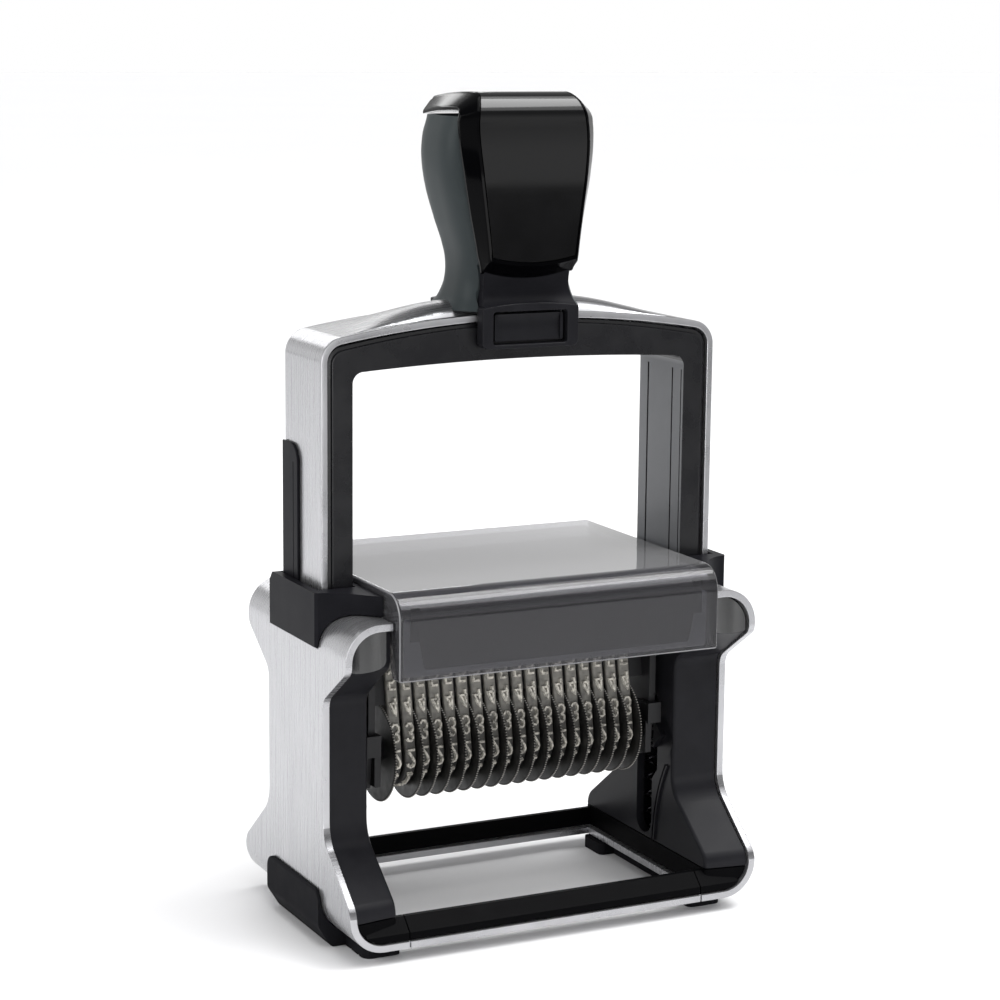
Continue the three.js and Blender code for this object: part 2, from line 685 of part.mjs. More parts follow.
// Drum with a thumb disc at its right-hand end, turned about the x axis.
function thumbwheel() {
  const drumEnd = BAND_WIDTH / 2;
  const discIn = drumEnd + 0.06;
  const discOut = discIn + THUMB_DISC;
  const bore = AXLE_RADIUS + 0.3;
  const profile = [
    [bore, -drumEnd], [DRUM_RADIUS, -drumEnd], [DRUM_RADIUS, discIn],
    [THUMB_RADIUS, discIn], [THUMB_RADIUS, discOut], [bore, discOut], [bore, -drumEnd],
  ].map(([r, x]) => new THREE.Vector2(r, x));
  return new THREE.LatheGeometry(profile, 14).rotateZ(-Math.PI / 2);
}

// Loop round a drum of the given radius and over the nose: (y, z) about the axle.
function bandLoop(radius, noseHalf, noseTop) {
  const corner = new THREE.Vector2(noseHalf, noseTop - 0.9);
  const start = corner.angle() - Math.acos(radius / corner.length());
  const steps = 9;
  const arc = Array.from({ length: steps + 1 }, (_, k) => {
    const angle = Math.PI - start + ((Math.PI + 2 * start) * k) / steps;
    return new THREE.Vector2(radius * Math.cos(angle), radius * Math.sin(angle));
  });
  return [
    ...arc,
    corner,
    new THREE.Vector2(noseHalf - 0.9, noseTop),
    new THREE.Vector2(0.9 - noseHalf, noseTop),
    new THREE.Vector2(-noseHalf, noseTop - 0.9),
  ];
}

const numberBand = () => extruded(
  'x',
  bandLoop(BAND_RADIUS, NOSE_HALF_DEPTH, PRINT_FACE - WHEEL_HEIGHT),
  -BAND_WIDTH / 2,
  BAND_WIDTH / 2,
  [bandLoop(
    BAND_RADIUS - BAND_THICKNESS,
    NOSE_HALF_DEPTH - BAND_THICKNESS,
    PRINT_FACE - WHEEL_HEIGHT - BAND_THICKNESS,
  )],
);

function numberUnits() {
  const units = [];
  for (let k = 0; k < BAND_COUNT; k += 1) {
    const label = String(k + 1).padStart(2, '0');
    const x = (k - (BAND_COUNT - 1) / 2) * BAND_PITCH;
    const turned = k ? thumbwheel() : mirrored(thumbwheel());
    const wheel = mesh(`thumbwheel_${label}`, turned, satinBlack());
    const band = mesh(`number_band_${label}`, numberBand(), bandRubber());
    wheel.position.set(x, 0, 0);
    band.position.set(x, 0, 0);
    units.push(wheel, band);
  }
  return units;
}

function printHead() {
  const bands = group('digit_unit', mesh('wheel_axle', wheelAxle(), springSteel()), numberUnits());
  bands.position.set(0, 0, WHEEL_HEIGHT);
  return group('print_head', mesh('head_frame', headFrame(), satinBlack()), bands);
}

// ---- assembly -----------------------------------------------------------------------------

const housing = group(
  'housing',
  mesh('base_shell', baseShell(), brushedSilver()),
  mesh('base_frame', baseFrame(), satinBlack()),
  pair('cheek', cheek(), satinBlack),
  pair('collar', collar(), satinBlack),
  pair('foot', foot(), rubber),
  mesh('pad_housing', padHousing(), satinBlack()),
  mesh('hood', hood(), smokedClear()),
  pair('return_spring', returnSpring(), springSteel),
);

const cartridge = group(
  'cartridge',
  mesh('pad_cartridge', padCartridge(), satinBlack()),
  mesh('ink_pad', inkPad(), inkPadFoam()),
);

const bow = group(
  'bow',
  mesh('bow_shell', bowShell(), brushedSilver()),
  mesh('bow_liner', bowLiner(), satinBlack()),
  pair('slide_bar', slideBar(), satinBlack),
  mesh('handle_core', handleCore(), softGrip()),
  mesh('handle_strap', handleStrap(), glossBlack()),
  mesh('handle_window', handleWindow(), glossBlack()),
  mesh('lock_button', lockButton(), satinBlack()),
  printHead(),
);

const stamp = group('numbering_stamp', housing, cartridge, bow);

export default stamp;
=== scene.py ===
"""A self-inking numbering stamp: silver base and press bow, black cheeks, smoked hood, soft
handle with a gloss strap, and a print head of eighteen digit bands. Shapes are built in
millimetres in the frame's axes, and each finished piece is scaled to metres."""
from math import acos, atan2, copysign, cos, pi, radians, sin, tan

import bmesh
import bpy
from mathutils import Matrix, Vector


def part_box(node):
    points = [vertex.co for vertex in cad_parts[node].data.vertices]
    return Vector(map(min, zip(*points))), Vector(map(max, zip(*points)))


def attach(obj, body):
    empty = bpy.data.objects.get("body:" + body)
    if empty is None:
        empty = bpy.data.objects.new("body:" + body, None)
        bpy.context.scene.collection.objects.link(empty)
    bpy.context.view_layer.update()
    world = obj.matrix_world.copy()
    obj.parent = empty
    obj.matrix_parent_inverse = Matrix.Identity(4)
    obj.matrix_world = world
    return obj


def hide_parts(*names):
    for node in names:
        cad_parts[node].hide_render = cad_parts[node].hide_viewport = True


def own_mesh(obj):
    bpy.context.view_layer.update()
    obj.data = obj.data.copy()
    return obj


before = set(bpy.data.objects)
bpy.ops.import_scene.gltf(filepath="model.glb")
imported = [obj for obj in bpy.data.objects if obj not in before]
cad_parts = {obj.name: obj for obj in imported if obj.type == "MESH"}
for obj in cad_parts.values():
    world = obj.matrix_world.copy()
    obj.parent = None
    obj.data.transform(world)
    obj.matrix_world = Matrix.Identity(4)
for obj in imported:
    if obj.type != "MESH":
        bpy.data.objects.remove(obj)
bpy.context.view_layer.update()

MM = 0.001
FAR = 120.0                     # reach of a cutter that has to pass right through


def box_mm(node):
    low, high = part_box(node)
    return low / MM, high / MM


# ---- driving sizes, taken from the frame where it has them --------------------------------

SHELL_LOW, SHELL_HIGH = box_mm("base_shell")
BOW_LOW, BOW_HIGH = box_mm("bow_shell")
LINER_LOW, LINER_HIGH = box_mm("bow_liner")
HOOD_LOW, HOOD_HIGH = box_mm("hood")
COLLAR_LOW, COLLAR_HIGH = box_mm("right_collar")
FOOT_HIGH = box_mm("right_foot")[1]
HOUSING_LOW, HOUSING_HIGH = box_mm("pad_housing")
STRAP_LOW, STRAP_HIGH = box_mm("handle_strap")
CORE_LOW = box_mm("handle_core")[0]
BUTTON_LOW, BUTTON_HIGH = box_mm("lock_button")
BAND_LOW, BAND_HIGH = box_mm("number_band_01")
LAST_BAND_LOW, LAST_BAND_HIGH = box_mm("number_band_18")
WHEEL_LOW, WHEEL_HIGH = box_mm("thumbwheel_02")
HEAD_LOW, HEAD_HIGH = box_mm("head_frame")

WHEEL_HEIGHT = (WHEEL_LOW.z + WHEEL_HIGH.z) / 2
GAP = 0.3                       # running gap between neighbouring pieces
WELD_REACH = 0.01
SHEET = 1.6                     # thickness of the silver sheet
CORNER = 8.0                    # radius of the base's corners
WAIST = 15.7                    # half-depth of the base at its waist
SHOULDER = 28.0
CHEEK_INNER = 38.2              # inner face of the cheeks
FRAME_TOP = 9.5                 # seam between the base frame and the cheeks
CHANNEL_HALF_DEPTH = 10.8
CHANNEL_FLOOR = 6.5
LEDGE_HALF_WIDTH = 37.0
LEDGE_HALF_DEPTH = 25.0
RAIL_HALF_OPENING = 26.0
RAIL_REACH = 46.0               # the rails run on into the cheeks' feet
COLLAR_HALF_DEPTH = 13.0
ARM_INNER = 40.5
SCOOP_X, SCOOP_Y = 43.65, 33.8   # middle of the hollow in each shoulder
SCOOP_RADIUS = 8.3
PIVOT_HEIGHT = 57.0
STROKE = 43.0
GUIDE_ARM = 10.0


# ---- mesh tools, in millimetres -----------------------------------------------------------

def rounded(corners, steps=8):
    """Outline whose corners (u, v, radius) are arcs."""
    points = []
    for k, corner in enumerate(corners):
        at = Vector(corner[:2])
        radius = corner[2] if len(corner) > 2 else 0
        if not radius:
            points.append(at)
            continue
        before = (Vector(corners[k - 1][:2]) - at).normalized()
        after = (Vector(corners[(k + 1) % len(corners)][:2]) - at).normalized()
        half = before.angle(after) / 2
        centre = at + (before + after).normalized() * (radius / sin(half))
        start = at + before * (radius / tan(half)) - centre
        turn = (2 * half - pi) * copysign(1, before.cross(after))
        for step in range(steps + 1):
            points.append(centre + Matrix.Rotation(turn * step / steps, 2) @ start)
    return points


def rectangle(u0, v0, u1, v1, radius=0, steps=6):
    corners = [(u0, v0, radius), (u1, v0, radius), (u1, v1, radius), (u0, v1, radius)]
    return rounded(corners, steps)


def circle(u, v, radius, sides=48):
    return [
        Vector((u + radius * cos(2 * pi * k / sides),
                v + radius * sin(2 * pi * k / sides)))
        for k in range(sides)
    ]


def symmetric(half):
    """Right half of an outline, from bottom to top, closed by its mirror image."""
    return half + [(-corner[0],) + tuple(corner[1:]) for corner in reversed(half)]


def bend(start, control, end, steps=10):
    """Points of a quadratic curve, ends included."""
    points = []
    for k in range(steps + 1):
        t = k / steps
        points.append(Vector(start) * (1 - t) ** 2 + Vector(control) * 2 * t * (1 - t)
                      + Vector(end) * t * t)
    return points


def linked(made):
    bpy.context.scene.collection.objects.link(made)
    return made


def worked(mesh, change):
    """Makes a bmesh change to a mesh."""
    work = bmesh.new()
    work.from_mesh(mesh)
    change(work)
    work.to_mesh(mesh)
    work.free()


def body(verts, faces):
    """Closed body with its faces pointing out."""
    mesh = bpy.data.meshes.new("work")
    mesh.from_pydata([tuple(v) for v in verts], [], faces)
    worked(mesh, lambda work: bmesh.ops.recalc_face_normals(work, faces=work.faces))
    return linked(bpy.data.objects.new("work", mesh))


PLACE = {
    "x": lambda u, v, w: (w, u, v),
    "y": lambda u, v, w: (u, w, v),
    "z": lambda u, v, w: (u, v, w),
}


def prism(axis, outline, start, end):
    """Outline in (y, z), (x, z) or (x, y), extruded along x, y or z."""
    count = len(outline)
    verts = [PLACE[axis](p[0], p[1], w) for w in (start, end) for p in outline]
    faces = [[k, (k + 1) % count, count + (k + 1) % count, count + k] for k in range(count)]
    return body(verts, faces + [list(range(count)), list(range(count, 2 * count))])


def through(axis, outline):
    """Cutter that passes right through the object along an axis."""
    return prism(axis, outline, -FAR, FAR)


def box(x0, x1, y0, y1, z0, z1):
    return prism("z", rectangle(x0, y0, x1, y1), z0, z1)


def loft(loops, closed=False):
    """Body through loops with equal numbers of points; closed joins the last to the first."""
    count = len(loops[0])
    verts = [p for loop in loops for p in loop]
    rows = len(loops)
    faces = []
    for row in range(rows if closed else rows - 1):
        here, there = row * count, ((row + 1) % rows) * count
        for k in range(count):
            beside = (k + 1) % count
            faces.append([here + k, here + beside, there + beside, there + k])
    if not closed:
        faces += [list(range(count)), list(range((rows - 1) * count, rows * count))]
    return body(verts, faces)


def evaluated(made):
    """Applies the object's modifiers."""
    graph = bpy.context.evaluated_depsgraph_get()
    mesh = bpy.data.meshes.new_from_object(made.evaluated_get(graph))
    made.modifiers.clear()
    old = made.data
    made.data = mesh
    bpy.data.meshes.remove(old)
    return made


def boolean(target, cutters, operation):
    for cutter in cutters:
        step = target.modifiers.new("boolean", "BOOLEAN")
        step.operation = operation
        step.object = cutter
        step.solver = "EXACT"
        evaluated(target)
        bpy.data.objects.remove(cutter)
    return target


def cut(target, *cutters):
    return boolean(target, cutters, "DIFFERENCE")


def join(target, *others):
    return boolean(target, others, "UNION")


def keep(target, *others):
    return boolean(target, others, "INTERSECT")


def bevel(made, width, segments=2, angle=35):
    step = made.modifiers.new("bevel", "BEVEL")
    step.width = width
    step.segments = segments
    step.limit_method = "ANGLE"
    step.angle_limit = radians(angle)
    step.miter_outer = "MITER_ARC"
    return evaluated(made)


def welded(made):
    """Joins the points that a bevel can leave a hair apart where its edge meets a face."""
    worked(made.data, lambda work: bmesh.ops.remove_doubles(work, verts=work.verts,
                                                            dist=WELD_REACH))
    return made


def copied(made):
    twin = made.copy()
    twin.data = made.data.copy()
    return linked(twin)


def mirrored(made):
    """The same body on the other side of the x = 0 plane."""
    twin = copied(made)
    twin.data.transform(Matrix.Scale(-1, 4, (1, 0, 0)))
    twin.data.flip_normals()
    return twin


def moved(made, offset):
    made.data.transform(Matrix.Translation(offset))
    return made


def merged(made, *others):
    """Several closed bodies in one mesh, without a boolean."""
    worked(made.data, lambda work: [work.from_mesh(part.data) for part in others])
    for part in others:
        bpy.data.objects.remove(part)
    return made


def piece(made, name, rides_on, material, stands_for=(), sharp=30):
    """Names a finished body, scales it to metres, smooths it and sets it on its CAD body."""
    made.name = name
    mesh = made.data
    mesh.transform(Matrix.Scale(MM, 4))
    mesh.materials.clear()
    mesh.materials.append(material)
    mesh.shade_smooth()
    mesh.set_sharp_from_angle(angle=radians(sharp))
    weight = made.modifiers.new("weight", "WEIGHTED_NORMAL")
    weight.keep_sharp = True
    evaluated(made)
    made.data.name = name
    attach(made, rides_on)
    if stands_for:
        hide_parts(*stands_for)
    return made


def second_finish(made, material, chosen):
    """Gives another material to the faces whose centre and normal are chosen."""
    made.data.materials.append(material)
    for face in made.data.polygons:
        if chosen(face.center / MM, face.normal):
            face.material_index = 1
    return made


def shown(made, node, rides_on, material, slot, sharp=30):
    """Piece that stands for one CAD node."""
    return piece(made, f"{node}_shape", rides_on, material, [node], sharp)


def both_sides(made, name, *finish, sharp=30):
    """Right-hand piece and its mirror image on the left."""
    left = mirrored(made)
    return [shown(half, f"{side}_{name}", *finish, sharp)
            for half, side in ((made, "right"), (left, "left"))]


# ---- materials ----------------------------------------------------------------------------

class Nodes:
    """A material's node tree, with short calls for the nodes that the finishes share."""

    def __init__(self, name):
        self.material = bpy.data.materials.new(name)
        self.material.use_nodes = True
        self.tree = self.material.node_tree
        self.shader = self.tree.nodes["Principled BSDF"]
        self.place = self.tree.nodes.new("ShaderNodeTexCoord").outputs["Object"]

    def add(self, kind, **inputs):
        node = self.tree.nodes.new(kind)
        for key, value in inputs.items():
            self.set(node.inputs[key.replace("_", " ")], value)
        return node

    def set(self, socket, value):
        if isinstance(value, bpy.types.NodeSocket):
            self.tree.links.new(value, socket)
        else:
            socket.default_value = value

    def shade(self, **inputs):
        for key, value in inputs.items():
            self.set(self.shader.inputs[key.replace("_", " ")], value)

    def noise(self, size, detail=3.0, stretch=(1, 1, 1), roughness=0.5):
        """Noise whose features are about size metres across, longer along a stretched axis."""
        place = self.add("ShaderNodeMapping", Vector=self.place,
                         Scale=tuple(1 / s for s in stretch))
        node = self.add("ShaderNodeTexNoise", Vector=place.outputs["Vector"],
                        Scale=1 / size, Detail=detail, Roughness=roughness)
        return node.outputs["Fac"]

    def spread(self, value, low=0, high=1, start=0.3, end=0.7):
        """Value from start to end, turned into low to high."""
        node = self.add("ShaderNodeMapRange")
        for key, number in zip(("From Min", "From Max", "To Min", "To Max"),
                               (start, end, low, high)):
            node.inputs[key].default_value = number
        self.set(node.inputs["Value"], value)
        return node.outputs["Result"]

    def mix(self, factor, first, second):
        node = self.add("ShaderNodeMix")
        node.data_type = "RGBA"
        self.set(node.inputs[0], factor)
        for socket, colour in ((node.inputs[6], first), (node.inputs[7], second)):
            self.set(socket, (*colour, 1) if isinstance(colour, tuple) else colour)
        return node.outputs[2]

    def bump(self, height, distance, strength=1.0):
        node = self.add("ShaderNodeBump", Height=height, Distance=distance, Strength=strength)
        self.set(self.shader.inputs["Normal"], node.outputs["Normal"])


def brushed_silver(name, shade=1.0):
    """Satin aluminium, brushed along the wrap, with a slight cloudiness."""
    nodes = Nodes(name)
    lines = nodes.noise(0.00035, 4, stretch=(60, 1, 60), roughness=0.65)
    cloud = nodes.noise(0.012, 2)
    # A shade below 1 darkens both tones: a darker copy of the silver that is painted shade
    dark, light = ((c * shade, c * shade, (c + 0.015) * shade) for c in (0.37, 0.49))
    base = nodes.mix(nodes.spread(lines), dark, light)
    nodes.shade(Base_Color=nodes.mix(nodes.spread(cloud, 0, 0.25), base, light),
                Metallic=0.85, Roughness=nodes.spread(lines, 0.23, 0.33))
    nodes.bump(lines, 0.00001, 0.22)
    return nodes.material


def moulded(name, dark, light, roughness, specular, grain=0.0004, relief=0.000012):
    """Moulded plastic: faint mottling, uneven gloss and a fine leathery texture."""
    nodes = Nodes(name)
    mottle = nodes.noise(0.006, 3)
    texture = nodes.noise(grain, 2)
    low, high = roughness
    nodes.shade(Base_Color=nodes.mix(nodes.spread(mottle), dark, light),
                Roughness=nodes.spread(mottle, low, high))
    nodes.shade(Specular_IOR_Level=specular)
    if relief:
        nodes.bump(texture, relief, 0.6)
    return nodes.material


def smoked_clear():
    """Smoked clear plastic: part of the light passes straight through, the rest is gloss."""
    nodes = Nodes("smoked_clear")
    haze = nodes.noise(0.02, 2)
    body_grey = nodes.mix(nodes.spread(haze), (0.042, 0.041, 0.046), (0.048, 0.047, 0.052))
    # Base colour turns light grey at grazing angles: a painted reflection
    grazing_painted_reflection = nodes.add("ShaderNodeLayerWeight", Blend=0.5).outputs["Facing"]
    nodes.shade(Base_Color=nodes.mix(nodes.spread(grazing_painted_reflection, 0, 1, 0.55, 0.9), body_grey,
                                     (0.36, 0.36, 0.365)),
                Roughness=nodes.spread(haze, 0.06, 0.1), Coat_Weight=1.0, Coat_Roughness=0.05)
    clear = nodes.add("ShaderNodeBsdfTransparent", Color=(0.78, 0.78, 0.81, 1))
    blend = nodes.add("ShaderNodeMixShader")
    nodes.tree.links.new(clear.outputs[0], blend.inputs[1])
    nodes.tree.links.new(nodes.shader.outputs[0], blend.inputs[2])
    rim = nodes.add("ShaderNodeFresnel", IOR=1.35)
    share = nodes.spread(rim.outputs[0], 0.33, 1.0, 0.0, 0.5)
    nodes.set(blend.inputs[0], share)
    output = nodes.tree.nodes["Material Output"]
    nodes.tree.links.new(blend.outputs[0], output.inputs["Surface"])
    return nodes.material


def band_rubber():
    """Moulded band rubber, mottled: painted light, pale towards the print face, and painted shade,
    dark round the drum.
    """
    nodes = Nodes("band_rubber")
    height = nodes.add("ShaderNodeSeparateXYZ", Vector=nodes.place).outputs["Z"]
    stain = nodes.noise(0.0016, 4)
    split = nodes.add("ShaderNodeMath", Value=height)
    split.operation = "MULTIPLY_ADD"
    split.inputs[0].default_value = 0
    nodes.set(split.inputs[0], stain)
    split.inputs[1].default_value = 0.006
    nodes.set(split.inputs[2], height)
    # Pale above a wavy height is painted light, and dark below it is painted shade
    painted_light_mask = nodes.spread(split.outputs[0], 0, 1, 0.038, 0.0545)
    pale = nodes.mix(nodes.spread(stain), (0.11, 0.105, 0.095), (0.24, 0.23, 0.205))
    nodes.shade(Base_Color=nodes.mix(painted_light_mask, (0.022, 0.0215, 0.0205), pale),
                Roughness=nodes.spread(stain, 0.42, 0.65))
    nodes.bump(nodes.noise(0.0005, 2), 0.00002, 0.5)
    return nodes.material


def digit_rubber():
    """Raised digits: worn pale on top, with ink in their grain."""
    nodes = Nodes("digit_rubber")
    stain = nodes.noise(0.0007, 4)
    nodes.shade(Base_Color=nodes.mix(nodes.spread(stain, 0, 1, 0.35, 0.6), (0.20, 0.19, 0.17),
                                     (0.66, 0.63, 0.56)),
                Roughness=0.5)
    nodes.bump(nodes.noise(0.0003, 2), 0.00002, 0.5)
    return nodes.material


def wheel_black():
    """Moulded thumbwheel, pale at the tips of its teeth."""
    nodes = Nodes("wheel_black")
    flat = nodes.add("ShaderNodeVectorMath")
    flat.operation = "MULTIPLY_ADD"
    nodes.set(flat.inputs[0], nodes.place)
    flat.inputs[1].default_value = (0, 1, 1)
    flat.inputs[2].default_value = (0, 0, -WHEEL_HEIGHT * MM)
    reach = nodes.add("ShaderNodeVectorMath")
    reach.operation = "LENGTH"
    nodes.set(reach.inputs[0], flat.outputs[0])
    # The mask called worn paints a pale ring at the teeth's tips, set by distance from the axle
    worn = nodes.spread(reach.outputs["Value"], 0, 1, 0.01110, 0.01122)
    mottle = nodes.noise(0.002, 3)
    dark = nodes.mix(mottle, (0.008, 0.008, 0.0075), (0.018, 0.0175, 0.017))
    nodes.shade(Base_Color=nodes.mix(worn, dark, (0.26, 0.25, 0.23)),
                Roughness=nodes.spread(mottle, 0.35, 0.5))
    nodes.shade(Specular_IOR_Level=0.35)
    nodes.bump(nodes.noise(0.0004, 2), 0.000012, 0.6)
    return nodes.material


def spring_steel():
    nodes = Nodes("spring_steel")
    drawn = nodes.noise(0.0002, 3, stretch=(1, 1, 12))
    nodes.shade(Base_Color=nodes.mix(drawn, (0.07, 0.07, 0.075), (0.13, 0.13, 0.14)),
                Metallic=1.0, Roughness=nodes.spread(drawn, 0.22, 0.38))
    return nodes.material


def ink_foam():
    """Open felt soaked in ink, with wet patches of uneven gloss."""
    nodes = Nodes("ink_foam")
    fibres = nodes.noise(0.0006, 5, roughness=0.7)
    wet = nodes.noise(0.008, 2)
    nodes.shade(Base_Color=nodes.mix(fibres, (0.004, 0.004, 0.008), (0.03, 0.03, 0.045)),
                Roughness=nodes.spread(wet, 0.45, 0.9))
    nodes.bump(fibres, 0.0002, 0.8)
    return nodes.material


SILVER = brushed_silver("brushed_silver")
# Darker copy of the silver: painted shade, for faces that the lights make too bright
SILVER_PAINTED_SHADE = brushed_silver("silver_painted_shade", 0.48)
SATIN = moulded("satin_black", (0.0105, 0.0105, 0.0125), (0.0135, 0.0135, 0.016), (0.30, 0.38),
                0.08)
LINER = moulded("liner_black", (0.006, 0.006, 0.0075), (0.008, 0.008, 0.0095), (0.24, 0.32), 0.34)
SHEEN = moulded("shoulder_black", (0.004, 0.0045, 0.005), (0.006, 0.0065, 0.007), (0.2, 0.26),
                0.9)
TRIM = moulded("trim_black", (0.0085, 0.0085, 0.0105), (0.0115, 0.0115, 0.014), (0.34, 0.42),
               0.03)
# Grey copy of the black liner for the arms' inner faces: painted light
LINER_PAINTED_LIGHT = moulded("liner_painted_light", (0.16, 0.165, 0.175), (0.18, 0.185, 0.195), (0.34, 0.42), 0.3)
RAIL = moulded("rail_black", (0.0018, 0.0018, 0.0022), (0.0026, 0.0026, 0.003), (0.34, 0.42),
               0.02)
DARK = moulded("dark_plastic", (0.008, 0.008, 0.009), (0.012, 0.012, 0.013), (0.35, 0.5), 0.25)
GLOSS = moulded("gloss_black", (0.0006, 0.0006, 0.0009), (0.001, 0.001, 0.0014), (0.09, 0.12),
                0.05, relief=0)
WINDOW = moulded("gloss_window", (0.0006, 0.0006, 0.0009), (0.001, 0.001, 0.0014), (0.09, 0.12),
                 0.36, relief=0)
GRIP = moulded("soft_grip", (0.024, 0.031, 0.033), (0.028, 0.036, 0.038), (0.42, 0.5), 0.2,
               grain=0.00025, relief=0.00001)
RUBBER = moulded("foot_rubber", (0.009, 0.009, 0.0105), (0.012, 0.012, 0.014), (0.55, 0.7), 0.03,
                 relief=0.00003)
PANEL = moulded("panel_grey", (0.007, 0.007, 0.008), (0.009, 0.009, 0.010), (0.4, 0.5), 0.15,
                relief=0)
BACKING = moulded("backing_grey", (0.32, 0.32, 0.335), (0.36, 0.36, 0.375), (0.4, 0.5), 0.2,
                  relief=0)
# Lighter copy for the hood's edge bevels: painted highlight
HOOD_PAINTED_HIGHLIGHT = moulded("hood_painted_highlight", (0.17, 0.17, 0.178), (0.21, 0.21, 0.22), (0.1, 0.16), 0.6, relief=0)
CLEAR = smoked_clear()
BAND = band_rubber()
DIGIT = digit_rubber()
STEEL = spring_steel()
FOAM = ink_foam()
WHEEL = wheel_black()


# ---- base ---------------------------------------------------------------------------------

def base_tube(inset, half_length=FAR):
    """Front view of the base's outer surface, moved inwards by inset, along y."""
    return prism("y", rectangle(
        inset - SHELL_HIGH.x, SHELL_LOW.z + inset, SHELL_HIGH.x - inset, SHELL_HIGH.z - inset,
        CORNER - inset, 12), -half_length, half_length)


def side_outline(depths, heights, margin, steps):
    """Side view of the base: a flared foot, a waist and a shoulder, as half-depths."""
    foot, waist, shoulder = depths
    low_flare, low_waist, high_waist, high_flare = heights
    return rounded(symmetric([
        (foot, SHELL_LOW.z + margin), (foot, low_flare, 4.5), (waist, low_waist, 8),
        (waist, high_waist, 4), (shoulder, high_flare, 3), (shoulder, SHELL_HIGH.z - margin),
    ]), steps)


def base_shell():
    opening = HOOD_HIGH.x + GAP
    notch = COLLAR_HALF_DEPTH + GAP
    made = cut(base_tube(0, SHELL_HIGH.y + 1), base_tube(SHEET))
    keep(made, through("x", side_outline((SHELL_HIGH.y, WAIST, SHOULDER),
                                        (12.6, 24.8, 55.5, 63.9), -1, 10)))
    cut(made,
        box(-opening, opening, -FAR, FAR, 40, FAR),
        box(-LEDGE_HALF_WIDTH, LEDGE_HALF_WIDTH, -LEDGE_HALF_DEPTH, LEDGE_HALF_DEPTH, 0, 10),
        box(-FAR, FAR, -notch, notch, COLLAR_LOW.z - GAP, FAR),
        box(47.5, 49.1, 1.2, 10.9, 8, 70),
        box(-49.1, -47.5, 1.2, 10.9, 8, 70))
    tick = [box(x - 0.15, x + 0.15, -FAR, -29.9, 0, 8) for x in (-36, 36)]
    cut(made, *tick)
    shell = shown(bevel(made, 0.28), "base_shell", "housing", SILVER, "brushed_silver")
    # The flare's up-slanted faces get the darker silver: painted shade over a bright reflection
    second_finish(shell, SILVER_PAINTED_SHADE, lambda centre, normal: (
        centre.z < 30 and normal.z > 0.15 and abs(normal.y) > 0.3))


def cheek_loop(x, depths, heights, inset=0.0):
    outline = side_outline([depth - inset for depth in depths], heights, SHEET + GAP, 8)
    return [(x, p.x, p.y) for p in outline]


def cheek_block():
    """Right-hand black block whose front and rear faces slant in towards the print head."""
    recess = 0.4
    near, low = (28.4, 12.8, 26.2), (12, 23.6, 54.9, 64.1)
    outer = cheek_loop(SHELL_HIGH.x, (SHELL_HIGH.y - recess, WAIST - recess, SHOULDER - recess),
                       (12.4, 24.7, 55.6, 64.2))
    edge = [cheek_loop(CHEEK_INNER + over, near, low, inset)
            for over, inset in ((0, 0.95), (0.12, 0.45), (0.4, 0.12), (0.85, -0.05))]
    made = loft(edge + [outer])
    channel = box(CHEEK_INNER + 2, FAR, -CHANNEL_HALF_DEPTH, CHANNEL_HALF_DEPTH,
                  CHANNEL_FLOOR, FAR)
    return cut(keep(made, base_tube(SHEET + GAP)), channel)


def guide_path(offset, steps=28):
    """Cam groove's middle line in the cheek's inner wall, moved sideways by offset: (y, z).
    Points are left out where a sideways move folds the line over itself."""
    points, middle = [], []
    for k in range(steps + 1):
        turn = pi * k / steps
        y = -GUIDE_ARM * sin(turn)
        z = PIVOT_HEIGHT - STROKE * k / steps - GUIDE_ARM * cos(turn)
        along = Vector((-GUIDE_ARM * cos(turn),
                        GUIDE_ARM * sin(turn) - STROKE / pi)).normalized()
        middle.append(Vector((y, z)))
        points.append(Vector((y, z)) + Vector((-along.y, along.x)) * offset)
    return [p for p in points if min((p - m).length for m in middle) > abs(offset) - 0.05]


def cheek():
    reach = HOOD_HIGH.x + GAP
    half_slot = 3.5
    pin_room = 2.5
    groove_floor = CHEEK_INNER + 1.3
    made = cheek_block()
    scoops = [prism("z", circle(SCOOP_X, side * SCOOP_Y, SCOOP_RADIUS, 72), 58, FAR)
              for side in (-1, 1)]
    low_pin = PIVOT_HEIGHT - STROKE + GUIDE_ARM
    slot = rectangle(-half_slot, PIVOT_HEIGHT - STROKE - half_slot,
                     half_slot, PIVOT_HEIGHT + half_slot, 3.4)
    groove = guide_path(pin_room) + guide_path(-pin_room)[::-1]
    cut(made,
        box(0, reach, -FAR, -COLLAR_HALF_DEPTH, 58, FAR),
        box(0, reach, COLLAR_HALF_DEPTH, FAR, 58, FAR),
        box(0, FAR, -FAR, FAR, 0, FRAME_TOP + GAP),
        box(0, FAR, -COLLAR_HALF_DEPTH - GAP, COLLAR_HALF_DEPTH + GAP, COLLAR_LOW.z - GAP, FAR),
        *scoops,
        prism("x", slot, 30, CHEEK_INNER + 3),
        prism("x", groove, 30, groove_floor),
        prism("x", circle(0, low_pin, pin_room), 30, groove_floor),
        prism("x", circle(0, PIVOT_HEIGHT - GUIDE_ARM, pin_room), 30, groove_floor))
    bevel(made, 0.18, 2, 40)
    for shift in (0, -1.1):
        line = bend((-9.8 + shift, 29.4), (-5.0 + shift, 21.5),
                    (-4.3 + shift, FRAME_TOP + 0.6), 14)
        wide = Vector((0.24, 0))
        rib = [p + wide for p in line] + [p - wide for p in reversed(line)]
        merged(made, prism("x", rib, CHEEK_INNER - 0.5, CHEEK_INNER + 0.4))
    for cheek_piece in both_sides(made, "cheek", "housing", SATIN, "satin_black"):
        second_finish(cheek_piece, SHEEN, lambda centre, normal: (
            centre.z > 61.5 and abs(centre.y) > 24 and abs(normal.z) < 0.2
            and (Vector((abs(centre.x) - SCOOP_X, abs(centre.y) - SCOOP_Y)).length
                 < SCOOP_RADIUS + 0.1)))


